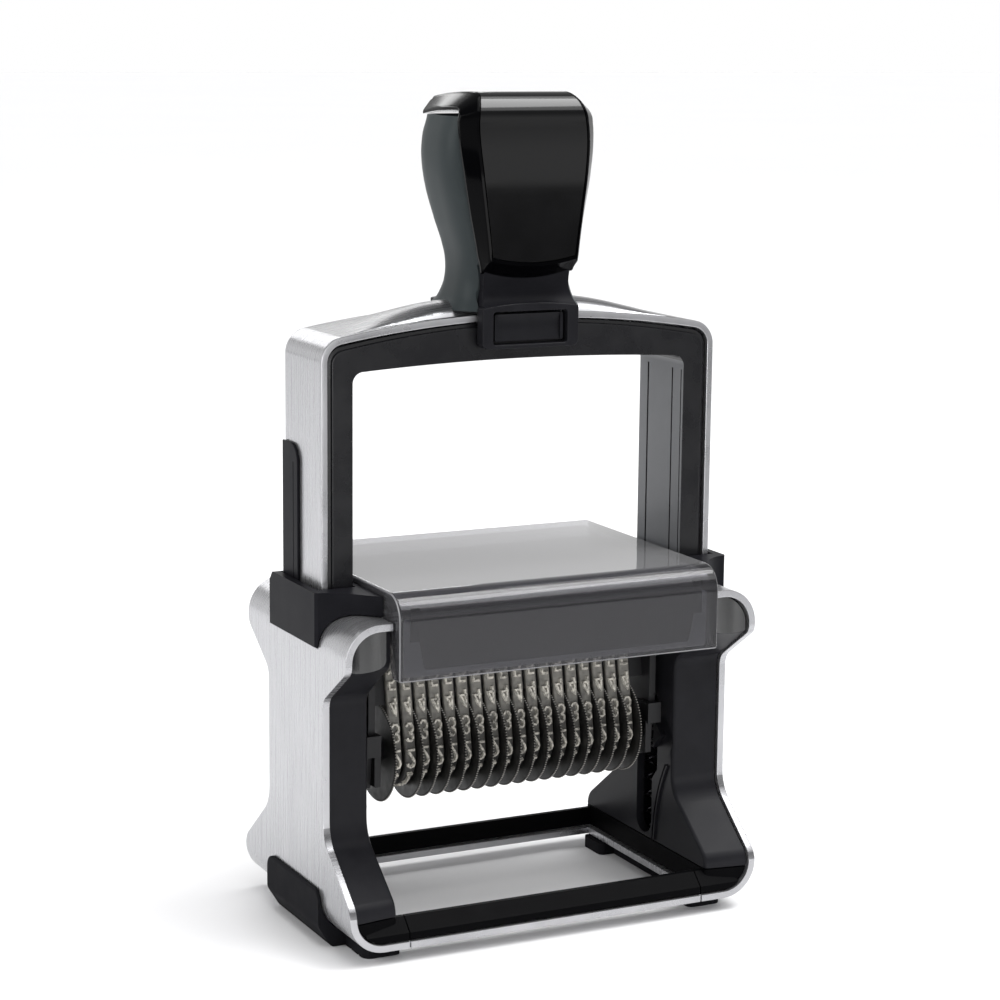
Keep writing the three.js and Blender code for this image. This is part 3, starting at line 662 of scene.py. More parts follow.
def base_frame():
    """Black ring on the base plate: the cheeks' feet, and bevelled rails front and rear."""
    right = keep(cheek_block(), box(0, FAR, -FAR, FAR, 0, FRAME_TOP))
    floor = SHELL_LOW.z + SHEET + GAP
    front = SHELL_HIGH.y - 0.4
    crest = FRAME_TOP - 0.3
    rails = [prism("x", [Vector(p) for p in (
        (side * front, floor), (side * front, floor + 1.5), (side * 27.2, crest),
        (side * RAIL_HALF_OPENING, crest), (side * RAIL_HALF_OPENING, floor))],
        -RAIL_REACH, RAIL_REACH) for side in (-1, 1)]
    made = keep(join(right, mirrored(right), *rails), base_tube(SHEET + GAP))
    seams = [box(x - 0.12, x + 0.12, side * 25, side * 32, 3, 12)
             for x in (-36, 36) for side in (-1, 1)]
    cut(made, *seams)
    return shown(bevel(made, 0.3), "base_frame", "housing", RAIL, "satin_black")


def foot():
    outside = FOOT_HIGH.x
    under = SHELL_LOW.z - GAP
    strip = prism("z", rectangle(39.5, -25.5, 44.5, 25.5, 2), 0, 5)
    toes = [prism("z", rectangle(35.8, side * 21 - 4.5, 42, side * 21 + 4.5, 1.5), 0, under)
            for side in (-1, 1)]
    guard = keep(
        prism("y", rounded([(41, 0), (outside - 3.1, 0, 1.5), (outside, 5, 3),
                            (outside, 13, 0.8), (49, 13), (41, 3)], 6), -15, 15),
        prism("x", rounded([(-15, -1), (-15, 13, 3.2), (15, 13, 3.2), (15, -1)]), 0, FAR))
    made = cut(join(strip, *toes, guard), base_tube(-0.2))
    grooves = [box(40.5, 46, y - 0.35, y + 0.35, -1, 0.35) for y in range(-22, 23, 4)]
    cut(made, *grooves)
    both_sides(bevel(made, 0.3), "foot", "housing", RUBBER, "foot_rubber")


def collar():
    near = COLLAR_LOW.x
    outside = COLLAR_HIGH.x
    lip = outside - 1.4
    front = bend((lip, -13.7), (45.6, -14.6), (41.6, -19.8))
    half = [Vector((near, COLLAR_LOW.y + 0.1))] + front[::-1]
    half += [Vector((outside - 0.5, -13.6)), Vector((outside, -12.9))]
    plan = half + [Vector((p.x, -p.y)) for p in reversed(half)]
    made = prism("z", plan, COLLAR_LOW.z, COLLAR_HIGH.z)
    top = COLLAR_HIGH.z
    keep(made, prism("x", rounded([(-24, 60), (-24, top), (11.4, top, 0.6),
                                   (13.8, top - 3.2, 1), (24, top - 3.2), (24, 60)], 4),
                     0, FAR))
    bevel(made, 0.45, 3, 40)
    arm = box(ARM_INNER - GAP, 48.9, -CHANNEL_HALF_DEPTH, CHANNEL_HALF_DEPTH, 0, FAR)
    shoulders = [keep(base_tube(-GAP), box(0, FAR, y0, y1, 0, FAR))
                 for y0, y1 in ((-FAR, -COLLAR_HALF_DEPTH), (COLLAR_HALF_DEPTH, FAR))]
    cut(made, arm, *shoulders)
    both_sides(bevel(made, 0.12, 1, 50), "collar", "housing", TRIM, "satin_black")


# ---- pad bay ------------------------------------------------------------------------------

def hood():
    y0, y1 = HOOD_LOW.y, HOOD_HIGH.y
    low, top = HOOD_LOW.z, HOOD_HIGH.z
    skirt, wall = 75.8, 1.3
    brow = 5.6                  # radius of the rounded front edge
    past = y1 + 3
    outer = rounded([(y0, low), (-26.5, low, 0.6), (-20, skirt, 4), (past, skirt),
                     (past, top), (y0, top, brow)], 14)
    inner = rounded([(y0 + wall, 40), (past + 2, 40), (past + 2, top - wall),
                     (y0 + wall, top - wall, brow - wall)], 14)
    made = prism("x", outer, HOOD_LOW.x, HOOD_HIGH.x)
    bevel(made, 1.1, 5, 50)
    cut(made, prism("x", inner, wall - HOOD_HIGH.x, HOOD_HIGH.x - wall),
        box(-FAR, FAR, y1, FAR, 0, FAR))
    made = shown(bevel(made, 0.1, 1, 60), "hood", "housing", CLEAR, "smoked_clear")
    # The side bevels and the lower front edge get the lighter copy: painted highlight
    second_finish(made, HOOD_PAINTED_HIGHLIGHT, lambda centre, normal: (
        (0.5 < abs(normal.x) < 0.93 and abs(centre.x) > HOOD_HIGH.x - 1.2)
        or (centre.z < low + 0.4 and centre.y < -26 and normal.y < -0.2)))


def pad_housing():
    """Dark inner box behind the hood, a touch inside the CAD box so that its edges show."""
    half, front = HOUSING_HIGH.x - 2.2, HOUSING_LOW.y
    top = HOUSING_HIGH.z
    made = prism("x", rounded([
        (front, 62.6, 0.8), (front + 1.4, 62.6), (front + 1.4, 73), (-24, 76.2), (-front, 76.2),
        (-front, top), (front, top, 4)], 8), -half, half)
    face = [(-32.1, 63.4, 0.8), (32.1, 63.4, 0.8), (34.9, 77.8), (-34.9, 77.8)]
    keep(made, through("y", rounded(face)))
    walls = [prism("y", [Vector((side * u, v)) for u, v in (
        (31, 69.6), (35.4, 69.6), (35.4, 77), (33.4, 77), (33.4, 71), (31, 71))],
        -28.8, 28.8) for side in (-1, 1)]
    lugs = [box(x0, x1, y - 3, y + 3, 69.6, 73)
            for x0, x1 in ((-37.9, -35), (35, 37.9)) for y in (-17, 17)]
    join(made, *walls, *lugs)
    shown(bevel(made, 0.25), "pad_housing", "housing", PANEL, "satin_black")
    backing = prism("y", rounded([(-36.8, 62, 0.8), (36.8, 62, 0.8), (36.8, 74.6, 0.8),
                                  (-36.8, 74.6, 0.8)]), front + 0.45, front + 0.9)
    cut(backing, through("y", [Vector((u * 0.985, v + 0.5 * (v < 70))) for u, v, *_ in face]))
    piece(bevel(backing, 0.08, 1), "pad_housing_rim", "housing", BACKING)


def pad_cartridge():
    """Tray with slide flanges, and a ribbed grip wall at its rear end."""
    front, rear = -27.2, 28.9
    made = box(-33.1, 33.1, front, rear, 73.4, 76)
    flanges = [box(x0, x1, front, rear, 71.3, 74) for x0, x1 in ((-33.1, -31.1), (31.1, 33.1))]
    wall = prism("y", rectangle(-29, 65.5, 29, 76, 1.5), 28, 30.4)
    join(made, *flanges, wall)
    grooves = [prism("x", circle(30.6, z, 0.45, 16), -26, 26) for z in (67.5, 69.3, 71.1, 72.9)]
    cut(made, *grooves)
    shown(bevel(made, 0.2), "pad_cartridge", "cartridge", SATIN, "satin_black")
    pad_low, pad_high = box_mm("ink_pad")
    pad = prism("z", rectangle(pad_low.x, pad_low.y, pad_high.x, pad_high.y, 1.5),
                pad_low.z, pad_high.z)
    shown(bevel(pad, 0.5, 3), "ink_pad", "cartridge", FOAM, "ink_foam")


# ---- press bow ----------------------------------------------------------------------------

BOW_CROWN = 136.0
BOW_SHOULDER = 131.5
WINDOW_TOP = 124.5
WINDOW_CROWN = 125.9
RIDGE_RISE = 2.6                # of the crown's middle ridge beside the handle


def smooth(value, start, end):
    t = min(max((value - start) / (end - start), 0), 1)
    return t * t * (3 - 2 * t)


def crown_height(x, half_width, edge, top):
    return top - (top - edge) * (x / half_width) ** 2


def arched(side, bottom, corner, top, radius, steps):
    """Straight sides and an arched top, each corner's arc running smoothly into the arch."""
    reach = side - 0.84 * radius
    lean = 2 * (side - reach) / reach
    edge = (corner + lean * top) / (1 + lean)
    slope = 2 * (top - edge) / reach
    right = rounded([(side, bottom), (side, corner, radius), (0, corner + slope * side)],
                    10)[:-2]
    arch = [Vector((x, crown_height(x, reach, edge, top)))
            for x in (reach * (1 - k / steps) for k in range(2 * steps + 1))]
    return right + arch + [Vector((-p.x, p.y)) for p in reversed(right)]


def bow_path(inset, bottom):
    """Front view of the bow's outside from the right foot over the crown to the left one."""
    return arched(BOW_HIGH.x - inset, bottom, BOW_SHOULDER - inset, BOW_CROWN - inset,
                  5.5 - inset, 24)


def button_pocket():
    return box(BUTTON_LOW.x - GAP, BUTTON_HIGH.x + GAP, -FAR, BUTTON_HIGH.y + 2 + GAP,
               BUTTON_LOW.z - GAP, BUTTON_HIGH.z + 0.6)


def bow_shell():
    """Silver strip bent over the bow, with a ridge and two coves worked into its crown."""
    path = bow_path(0, BOW_LOW.z)
    thickness = 1.5
    half = BOW_HIGH.y
    loops = []
    for k, at in enumerate(path):
        before, after = path[max(k - 1, 0)], path[min(k + 1, len(path) - 1)]
        along = (after - before).normalized()
        out = Vector((along.y, -along.x))
        over = at.y > BOW_SHOULDER
        strength = smooth(abs(at.x), 44.5, 19) if over else 0
        swell = RIDGE_RISE * smooth(abs(at.x), 43, 14.5) if over else 0
        crease = 9.4 - 3.2 * strength
        ridge = [(y * crease, swell * (1 - abs(y) ** 2.4) ** 0.6)
                 for y in (0.985, 0.93, 0.84, 0.7, 0.5, 0.25, 0)]
        cove = [(9.4 + (crease - 9.4) * t, -1.0 * strength * sin(pi * t) ** 0.7)
                for t in (0.08, 0.25, 0.5, 0.75, 0.93)]
        side = [(half, 0), (9.45, 0)] + cove + ridge
        row = side + [(-y, rise) for y, rise in reversed(side[:-1])]
        top = [at + out * rise for _, rise in row]
        under = at - out * thickness
        loops.append([(p.x, y, p.y) for p, (y, _) in zip(top, row)]
                     + [(under.x, -half, under.y), (under.x, half, under.y)])
    made = cut(loft(loops), button_pocket())
    shell = shown(bevel(made, 0.22, 2, 50), "bow_shell", "bow", SILVER, "brushed_silver", sharp=24)
    # The crown's faces get the darker silver: painted shade
    second_finish(shell, SILVER_PAINTED_SHADE, lambda centre, normal: (
        abs(centre.x) < 42.8 and centre.z > BOW_SHOULDER and abs(normal.y) < 0.8))


def window_outline(inset, bottom):
    return arched(ARM_INNER - inset, bottom, WINDOW_TOP - inset, WINDOW_CROWN - inset, 2.5, 16)


def bow_liner():
    """Black arms and crown inside the silver strip, with a stepped edge and grooved flanks."""
    half = LINER_HIGH.y
    foot = LINER_LOW.z
    edge = [(half, 2.9), (half - 0.1, 2.66), (half - 0.34, 2.56), (half - 0.55, 2.5),
            (half - 0.62, 1.9), (half - 0.75, 1.8)]
    rows = [(-y, inset) for y, inset in edge] + [(y, inset) for y, inset in reversed(edge)]
    made = loft([[(p.x, y, p.y) for p in bow_path(inset, foot)] for y, inset in rows])
    cut(made, through("y", window_outline(0, 0)), button_pocket())
    bevel(made, 0.3, 3, 72)
    welded(made)
    grooves = []
    for s in (-1, 1):
        for y, width, depth in ((-5, 0.5, 0.7), (6, 0.6, 0.5), (-8.9, 0.35, 0.35)):
            x0, x1 = sorted((s * (ARM_INNER - 1), s * (ARM_INNER + depth)))
            grooves.append(box(x0, x1, y - width / 2, y + width / 2, 0, WINDOW_TOP - 3.3))
    cut(made, *grooves)
    liner = shown(made, "bow_liner", "bow", LINER, "satin_black")
    # The arms' inner faces get the grey copy: painted light on the black liner
    second_finish(liner, LINER_PAINTED_LIGHT, lambda centre, normal: (
        abs(normal.x) > 0.9 and normal.x * centre.x < 0 and abs(centre.x) < ARM_INNER + 1))


def slide_bar():
    low, high = box_mm("right_slide_bar")
    outline = rounded([(low.y, low.z), (high.y, low.z), (high.y, high.z), (low.y, high.z, 4)], 10)
    made = prism("x", outline, low.x, high.x)
    bevel(made, 0.18, 2)
    cut(made, box(high.x - 0.15, FAR, low.y + 2.2, low.y + 2.5, 0, high.z - 4))
    both_sides(made, "slide_bar", "bow", TRIM, "satin_black")


# ---- handle -------------------------------------------------------------------------------

# Both tables were set from the silhouette in the photo.
GRIP_ROWS = [                   # height, half-width, front depth, rear depth
    (136.5, 15.6, 12.3, 12.3), (138.7, 14.2, 11.6, 10), (142, 13.3, 10.8, 7.8),
    (145.7, 13.2, 11.2, 6.6), (149.5, 13.8, 12, 6.8), (155.5, 15.5, 12, 8.6),
    (162.5, 17.2, 12, 10.8), (169, 17.9, 12, 12), (174, 17.6, 12, 12), (178.1, 16.5, 12, 11.7),
]


def between(rows, height):
    """Row values at a height, by a smooth curve through the rows."""
    last = len(rows) - 1
    k = max(i for i in range(last) if rows[i][0] <= height or i == 0)
    z0, z1 = rows[k][0], rows[k + 1][0]
    t = (height - z0) / (z1 - z0)
    found = []
    for column in range(1, len(rows[0])):
        p = [rows[min(max(k + d, 0), last)][column] for d in (-1, 0, 1, 2)]
        slope0, slope1 = (p[2] - p[0]) / 2, (p[3] - p[1]) / 2
        found.append(p[1] * (2 * t ** 3 - 3 * t * t + 1) + slope0 * (t ** 3 - 2 * t * t + t)
                     + p[2] * (3 * t * t - 2 * t ** 3) + slope1 * (t ** 3 - t * t))
    return found


def grip_loop(height, half_width, front, back, sides=72, squareness=3.4):
    points = []
    for k in range(sides):
        angle = 2 * pi * k / sides
        c, s = cos(angle), sin(angle)
        y = copysign(abs(s) ** (2 / squareness), s)
        x = copysign(abs(c) ** (2 / squareness), c)
        points.append((half_width * x, y * (front if y < 0 else back), height))
    return points


STRAP_ROWS = [                  # height, half-width of the face, half-width at the grip
    (143.0, 9.8, 10.9), (145.5, 10.1, 11.2), (148.3, 10.5, 11.9), (157.5, 11.6, 13.7),
    (167, 12.8, 15.3), (174, 13.4, 16.1), (178.4, 13.2, 16.1), (181.2, 12.4, 15.7),
    (183.3, 11.3, 15.2),
]
STRAP_DEPTH = 3.9
STRAP_BEND = 6.2
STRAP_LEAN = 1.3                # how far the face curves back towards the bend


def strap_path():
    """Points up the front and over the top, each with its inward direction, in (y, z)."""
    front, top, rear = STRAP_LOW.y, STRAP_HIGH.z, STRAP_HIGH.y
    foot = STRAP_ROWS[0][0]
    rise = top - STRAP_BEND - foot
    path = []
    for k in range(24):
        height = foot + rise * k / 24
        lean = max(height - 163, 0) / (rise - 20)
        path.append(((front + STRAP_LEAN * lean * lean, height), (1, 0)))
    front += STRAP_LEAN
    for k in range(13):
        turn = pi / 2 * k / 12
        inward = (cos(turn), -sin(turn))
        path.append(((front + STRAP_BEND * (1 - inward[0]), top - STRAP_BEND * (1 + inward[1])),
                     inward))
    start = front + STRAP_BEND
    for k in range(1, 11):
        t = k / 10
        path.append(((start + (rear - start) * t, top - 1.4 * t * t), (0, -1)))
    return path


def strap_solid(shrink=0.0):
    """Strap over the front and top: a section with wide chamfers, carried along its path."""
    loops = []
    for at, inward in strap_path():
        face, side = between(STRAP_ROWS, at[1] if at[0] < -8.4 else STRAP_HIGH.z)
        side -= max(at[0], 0) * 0.1
        section = [(side - shrink, STRAP_DEPTH + shrink), (side - shrink, STRAP_DEPTH - 0.6),
                   (side - 0.3, STRAP_DEPTH - 1.1), (face + 0.5, 0.55), (face + 0.15, 0.14),
                   (face - 0.3, 0.0), (face * 0.5, -0.0)]
        row = section + [(-x, n) for x, n in reversed(section)]
        loops.append([(x, at[0] + inward[0] * n, at[1] + inward[1] * n) for x, n in row])
    return loft(loops)


def panel_low(x, inset=0.0):
    """Height of the panel's arched lower edge."""
    return 148.3 + inset - 1.3 * (1 - (x / 10.2) ** 2)


def panel_room(inset):
    """Cutter for the gloss panel, which runs up the front and on over the top."""
    heights = [149.6 + (STRAP_HIGH.z - 149.6) * k / 16 for k in range(17)]
    right = [Vector((between(STRAP_ROWS, z)[0] - 0.4 - inset, z)) for z in heights]
    right.append(Vector((right[-1].x, 200)))
    corner = right[0].x
    arc = [Vector((x, panel_low(x, inset))) for x in
           (corner * (k / 8 - 1) * 0.985 for k in range(17))]
    left = [Vector((-p.x, p.y)) for p in reversed(right)]
    return through("y", arc + right + left)


def under_strap():
    """Cutter that leaves the strap's arched lower chamfer."""
    loops = []
    for k in range(25):
        x = -20 + 40 * k / 24
        low = panel_low(min(max(x, -10.2), 10.2)) - 0.5
        loops.append([(x, -60, low + 30), (x, -60, 100), (x, 60, 100), (x, 60, low - 3.2),
                      (x, STRAP_LOW.y + 4, low - 3.2), (x, STRAP_LOW.y - 0.5, low + 0.2)])
    return loft(loops)


def handle():
    foot, crest = GRIP_ROWS[0][0], GRIP_ROWS[-1][0]
    heights = [foot + (crest - foot) * k / 44 for k in range(45)]
    grip = loft([grip_loop(z, *between(GRIP_ROWS, z)) for z in heights])
    cut(grip, strap_solid(0.25), box(-11.3, 11.3, -20, -9, 130, 146.5), button_pocket())
    piece(bevel(grip, 0.25, 2, 50), "handle_grip", "bow", GRIP, ["handle_core"],
          sharp=38)

    rear, top = STRAP_HIGH.y, STRAP_HIGH.z
    ends = [(-20, 130), (rear, 130), (rear, top - 1, 2.6), (rear - 4, top + 0.2, 3), (-20, top + 1)]
    whole = cut(keep(strap_solid(), through("x", rounded(ends))), under_strap())
    panel = keep(copied(whole), panel_room(0.22))
    strap = cut(whole, panel_room(0))
    shown(bevel(strap, 0.22, 3, 28), "handle_strap", "bow", GLOSS, "gloss_black", sharp=38)
    shown(bevel(panel, 0.15, 2, 28), "handle_window", "bow", WINDOW, "gloss_black", sharp=38)

    neck = prism("x", [Vector((-8.6, 136.6)), Vector((-13.2, 136.6))]
                 + bend((-13.2, 137.6), (-9.6, 139.8), (-11.4, 145.4), 12)
                 + [Vector((-8.6, 145.4))], -11.1, 11.1)
    sides = rounded(symmetric([(11.1, 130), (11.1, 137.8), (10.3, 141.5, 6), (10.4, 147)]), 8)
    keep(neck, through("y", sides))
    piece(bevel(neck, 0.25, 2, 40), "handle_neck", "bow", TRIM)

    front = CORE_LOW.y
    saddle_low = CORE_LOW.z
    for name, y0, y1 in (("front_saddle", front, -10.6), ("rear_saddle", 10.6, -front)):
        arch = [Vector((x, 138.3 - 0.9 * (x / 11.7) ** 2))
                for x in (11.7 - 23.4 * k / 16 for k in range(17))]
        base = rounded([(-11.7, 132), (-11.7, saddle_low, 1.5), (11.7, saddle_low, 1.5),
                        (11.7, 132)], 6)
        saddle = prism("y", base + arch, y0, y1)
        if y0 < 0:
            cut(saddle, prism("y", rectangle(BUTTON_LOW.x - 0.7, BUTTON_LOW.z - 0.6,
                                             BUTTON_HIGH.x + 0.6, BUTTON_HIGH.z + 0.6, 0.6),
                              -FAR, 0))
        piece(bevel(saddle, 0.3, 3), name, "bow", SATIN)


def lock_button():
    """Push button with a dished face."""
    wide, face, back = BUTTON_HIGH.x, BUTTON_LOW.y + 0.75, BUTTON_HIGH.y
    made = prism("y", rectangle(-wide, BUTTON_LOW.z, wide, BUTTON_HIGH.z, 0.4), face, back)
    middle = (BUTTON_LOW.z + BUTTON_HIGH.z) / 2
    radius = 9.0
    dish = prism("x", circle(face - radius + 0.75, middle, radius, 96), 0.7 - wide, wide - 0.7)
    shown(bevel(cut(made, dish), 0.2, 2), "lock_button", "lock", SATIN, "satin_black")


# ---- print head ---------------------------------------------------------------------------

PRINT_FACE = BAND_HIGH.z
BAND_COUNT = 18
FIRST_X = (BAND_LOW.x + BAND_HIGH.x) / 2
BAND_PITCH = ((LAST_BAND_LOW.x + LAST_BAND_HIGH.x) / 2 - FIRST_X) / (BAND_COUNT - 1)
BAND_WIDTH = BAND_HIGH.x - BAND_LOW.x
BAND_RADIUS = 8.4
RELIEF = 0.55                   # height of the raised digits
NOSE = 2.5
THUMB_RADIUS = 11.3


def band_line(outside):
    """Closed line of the band about the drum, in (y, z), with its outward directions."""
    radius = BAND_RADIUS - outside
    nose, top = NOSE - outside, PRINT_FACE - WHEEL_HEIGHT - outside
    corner = Vector((nose, top - 1.1))
    start = atan2(corner.y, corner.x) - acos(radius / corner.length)
    arc = 40
    points = []
    for k in range(arc + 1):
        angle = pi - start + (pi + 2 * start) * k / arc
        points.append(Vector((radius * cos(angle), radius * sin(angle))))
    tangent = points[-1]
    points += [tangent.lerp(corner, k / 14) for k in range(1, 15)]
    bend_in = bend(corner, (nose, top), (nose - 1.1, top), 5)[1:]
    across = [Vector((p, top)) for p in (0.7 * (nose - 1.1), 0, -0.7 * (nose - 1.1))]
    turned = [Vector((-p.x, p.y)) for p in reversed(bend_in)]
    points += bend_in + across + turned + [Vector((-corner.x, corner.y))]
    rear = points[0]
    points += [Vector((-corner.x, corner.y)).lerp(rear, k / 14) for k in range(1, 14)]
    return [Vector((p.x, p.y + WHEEL_HEIGHT)) for p in points]


def band_body():
    """Rubber loop: a flat ring with chamfered outer edges, round its drum."""
    outer, inner = band_line(RELIEF), band_line(RELIEF + 0.9)
    half = BAND_WIDTH / 2
    loops = []
    for p, q in zip(outer, inner):
        edge = 0.22
        inset = p.lerp(q, edge / max((p - q).length, edge))
        loops.append([(-half, q.x, q.y), (half, q.x, q.y), (half, inset.x, inset.y),
                      (half - edge, p.x, p.y), (edge - half, p.x, p.y), (-half, inset.x, inset.y)])
    return loft(loops, closed=True)


class Track:
    """Places along the band's outside, measured from the middle of the print face."""

    def __init__(self):
        self.points = band_line(RELIEF)
        self.sums = [0.0]
        closed = self.points + [self.points[0]]
        for a, b in zip(closed, closed[1:]):
            self.sums.append(self.sums[-1] + (b - a).length)
        self.closed = closed
        middle = min(range(len(self.points)),
                     key=lambda k: (-self.points[k].y, abs(self.points[k].x)))
        self.start = self.sums[middle]
        self.length = self.sums[-1]

    def at(self, distance, height):
        along = (self.start + distance) % self.length
        k = max(i for i in range(len(self.points)) if self.sums[i] <= along)
        a, b = self.closed[k], self.closed[k + 1]
        t = (along - self.sums[k]) / (b - a).length
        direction = (b - a).normalized()
        out = Vector((direction.y, -direction.x))
        point = a.lerp(b, t) + out * height
        return point


STROKES = {                     # centre lines on a grid one unit wide and two units high
    "0": [[(0, .45), (0, 1.55), (.25, 1.95), (.75, 1.95), (1, 1.55), (1, .45), (.75, .05),
           (.25, .05), (0, .45)]],
    "1": [[(.1, 1.5), (.55, 2), (.55, 0)], [(.15, 0), (.95, 0)]],
    "2": [[(0, 1.55), (.15, 1.9), (.5, 2), (.85, 1.9), (1, 1.5), (.85, 1.1), (0, .05), (1, .05)]],
    "3": [[(0, 1.65), (.2, 1.92), (.6, 2), (.9, 1.8), (.9, 1.35), (.6, 1.08), (.35, 1.05)],
          [(.6, 1.08), (.95, .8), (1, .4), (.75, .05), (.3, 0), (0, .35)]],
    "4": [[(.75, 0), (.75, 2), (0, .6), (1, .6)]],
    "5": [[(.95, 2), (.1, 2), (.05, 1.2), (.6, 1.25), (.95, .95), (1, .45), (.7, .05), (.3, 0),
           (0, .25)]],
    "6": [[(.85, 1.95), (.4, 1.8), (.05, 1.2), (0, .6), (.2, .1), (.6, 0), (.95, .3), (.95, .8),
           (.65, 1.1), (.3, 1.05), (.05, .8)]],
    "7": [[(0, 2), (1, 2), (.35, 0)]],
    "8": [[(.5, 1.08), (.1, 1.4), (.15, 1.85), (.5, 2), (.85, 1.85), (.9, 1.4), (.5, 1.08),
           (0, .7), (.1, .15), (.5, 0), (.9, .15), (1, .7), (.5, 1.08)]],
    "9": [[(.15, .05), (.6, .2), (.95, .8), (1, 1.4), (.8, 1.9), (.4, 2), (.05, 1.7), (.05, 1.2),
           (.35, .9), (.7, .95), (.95, 1.2)]],
}
DIGIT_HALF_WIDTH = 0.8
DIGIT_HEIGHT = 3.9
STROKE_HALF = 0.28
DIGIT_COUNT = 16


def digit_body(track, character, place):
    """Raised strokes of one digit, upside down and mirrored, bent round the band."""
    bars = []
    for line in STROKES[character]:
        fine = []
        for a, b in zip(line, line[1:]):
            a, b = Vector(a), Vector(b)
            steps = max(1, round((b - a).length * 2.5))
            fine += [a.lerp(b, k / steps) for k in range(steps)]
        fine.append(Vector(line[-1]))
        flat = [Vector(((p.x - 0.5) * 2 * DIGIT_HALF_WIDTH, (p.y - 1) * DIGIT_HEIGHT / 2))
                for p in fine]
        loops = []
        for k, at in enumerate(flat):
            before, after = flat[max(k - 1, 0)], flat[min(k + 1, len(flat) - 1)]
            along = (after - before).normalized()
            side = Vector((-along.y, along.x))
            loop = []
            for reach, height in ((-1.35, -0.1), (-0.8, RELIEF), (0.8, RELIEF), (1.35, -0.1)):
                spot = at + side * (STROKE_HALF * reach)
                point = track.at(place + spot.y, height)
                loop.append((spot.x, point.x, point.y))
            loops.append(loop)
        bars.append(loft(loops))
    return merged(*bars) if len(bars) > 1 else bars[0]


def number_bands():
    track = Track()
    pitch = track.length / DIGIT_COUNT
    order = "8765432109"
    for k in range(BAND_COUNT):
        label = f"{k + 1:02d}"
        x = FIRST_X + k * BAND_PITCH
        drift = 0.18 * sin(k * 2.4)
        band = moved(band_body(), (x, 0, 0))
        piece(band, f"number_band_{label}_shape", "print_head", BAND,
              [f"number_band_{label}"])
        digits = [digit_body(track, order[n % 10], (n - 0.09) * pitch + drift)
                  for n in range(DIGIT_COUNT)]
        made = moved(merged(*digits), (x, 0, 0))
        piece(made, f"band_digits_{label}", "print_head", DIGIT)


def toothed_disc(radius, teeth, depth, x0, x1, dish):
    """Thumb disc with a fine milled edge and dished sides."""
    outline = []
    for k in range(teeth * 2):
        angle = pi * k / teeth
        r = radius - depth * (k % 2)
        outline.append((r * cos(angle), r * sin(angle)))
    rings = []
    for x, share in ((x0 + dish, 0.45), (x0 + dish, 0.86), (x0, 0.93), (x0, 0.985),
                     (x0 + 0.08, 1), (x1 - 0.08, 1), (x1, 0.985), (x1, 0.93),
                     (x1 - dish, 0.86), (x1 - dish, 0.45)):
        rings.append([(x, y * share, z * share + WHEEL_HEIGHT) for y, z in outline])
    return loft(rings)


def thumbwheels():
    half = BAND_WIDTH / 2
    inside = half + 0.06
    outside = WHEEL_HIGH.x - (FIRST_X + BAND_PITCH)
    for k in range(BAND_COUNT):
        label = f"{k + 1:02d}"
        x = FIRST_X + k * BAND_PITCH
        disc = toothed_disc(THUMB_RADIUS, 108, 0.36, inside, outside, 0.1)
        drum = prism("x", circle(0, WHEEL_HEIGHT, 6.5, 48), -half, inside + 0.2)
        made = merged(disc, drum)
        if k == 0:
            twin = mirrored(made)
            bpy.data.objects.remove(made)
            made = twin
        piece(moved(made, (x, 0, 0)), f"thumbwheel_{label}_shape", f"thumbwheel_{label}", WHEEL,
              [f"thumbwheel_{label}"])


def return_spring():
    """Coil between the base and the bow's arm; the real one shortens as the bow goes down, this one
    keeps one length.
    """
    low, high = box_mm("right_return_spring")
    wire, turn_steps, turns = 0.32, 20, 22
    radius = (high.y - low.y) / 2 - wire
    middle = (low + high) / 2
    loops = []
    for k in range(turns * turn_steps + 1):
        angle = 2 * pi * k / turn_steps
        height = low.z + wire + (high.z - low.z - 2 * wire) * k / (turns * turn_steps)
        loops.append([(middle.x + r * cos(angle), middle.y + r * sin(angle), z)
                      for r, z in ((radius + p.x, height + p.y) for p in circle(0, 0, wire, 8))])
    for spring in both_sides(loft(loops), "return_spring", "housing", STEEL, "spring_steel",
                             sharp=80):
        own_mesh(spring)


def head_frame():
    plate_in, plate_out = 34.4, 36.0
    high, low = HEAD_HIGH.z, HEAD_LOW.z
    plate = rounded(symmetric([(6, low, 3), (8, 46, 4), (8, 61, 3), (5.5, high - 1, 2)]), 8)
    guide = PIVOT_HEIGHT - GUIDE_ARM
    spine_low = WHEEL_HEIGHT + THUMB_RADIUS + GAP
    spine = [Vector(p) for p in ((4.5, spine_low), (0.75, 69), (-0.75, 69), (-4.5, spine_low))]
    half = prism("x", plate, plate_in, plate_out)
    join(half,
         prism("x", circle(0, WHEEL_HEIGHT, 4), 32, plate_in + 1),
         prism("x", circle(0, PIVOT_HEIGHT, 3), plate_in + 1, HEAD_HIGH.x),
         prism("x", circle(0, guide, 2), plate_in + 1, 39.2),
         box(plate_in + 1, 37.4, -2.6, 2.6, guide - 2.6, PIVOT_HEIGHT - 4),
         prism("x", spine, 0, plate_in + 1),
         box(33.5, 36.9, -9.3, -4, 39.5, 44.3),
         box(33.3, 34.8, -8.6, -5, 32.5, 40))
    bevel(half, 0.25)
    other = mirrored(half)
    piece(half, "head_frame_right", "print_head", DARK, ["head_frame"])
    piece(other, "head_frame_left", "print_head", DARK, ["head_frame"])


# ---- stage --------------------------------------------------------------------------------

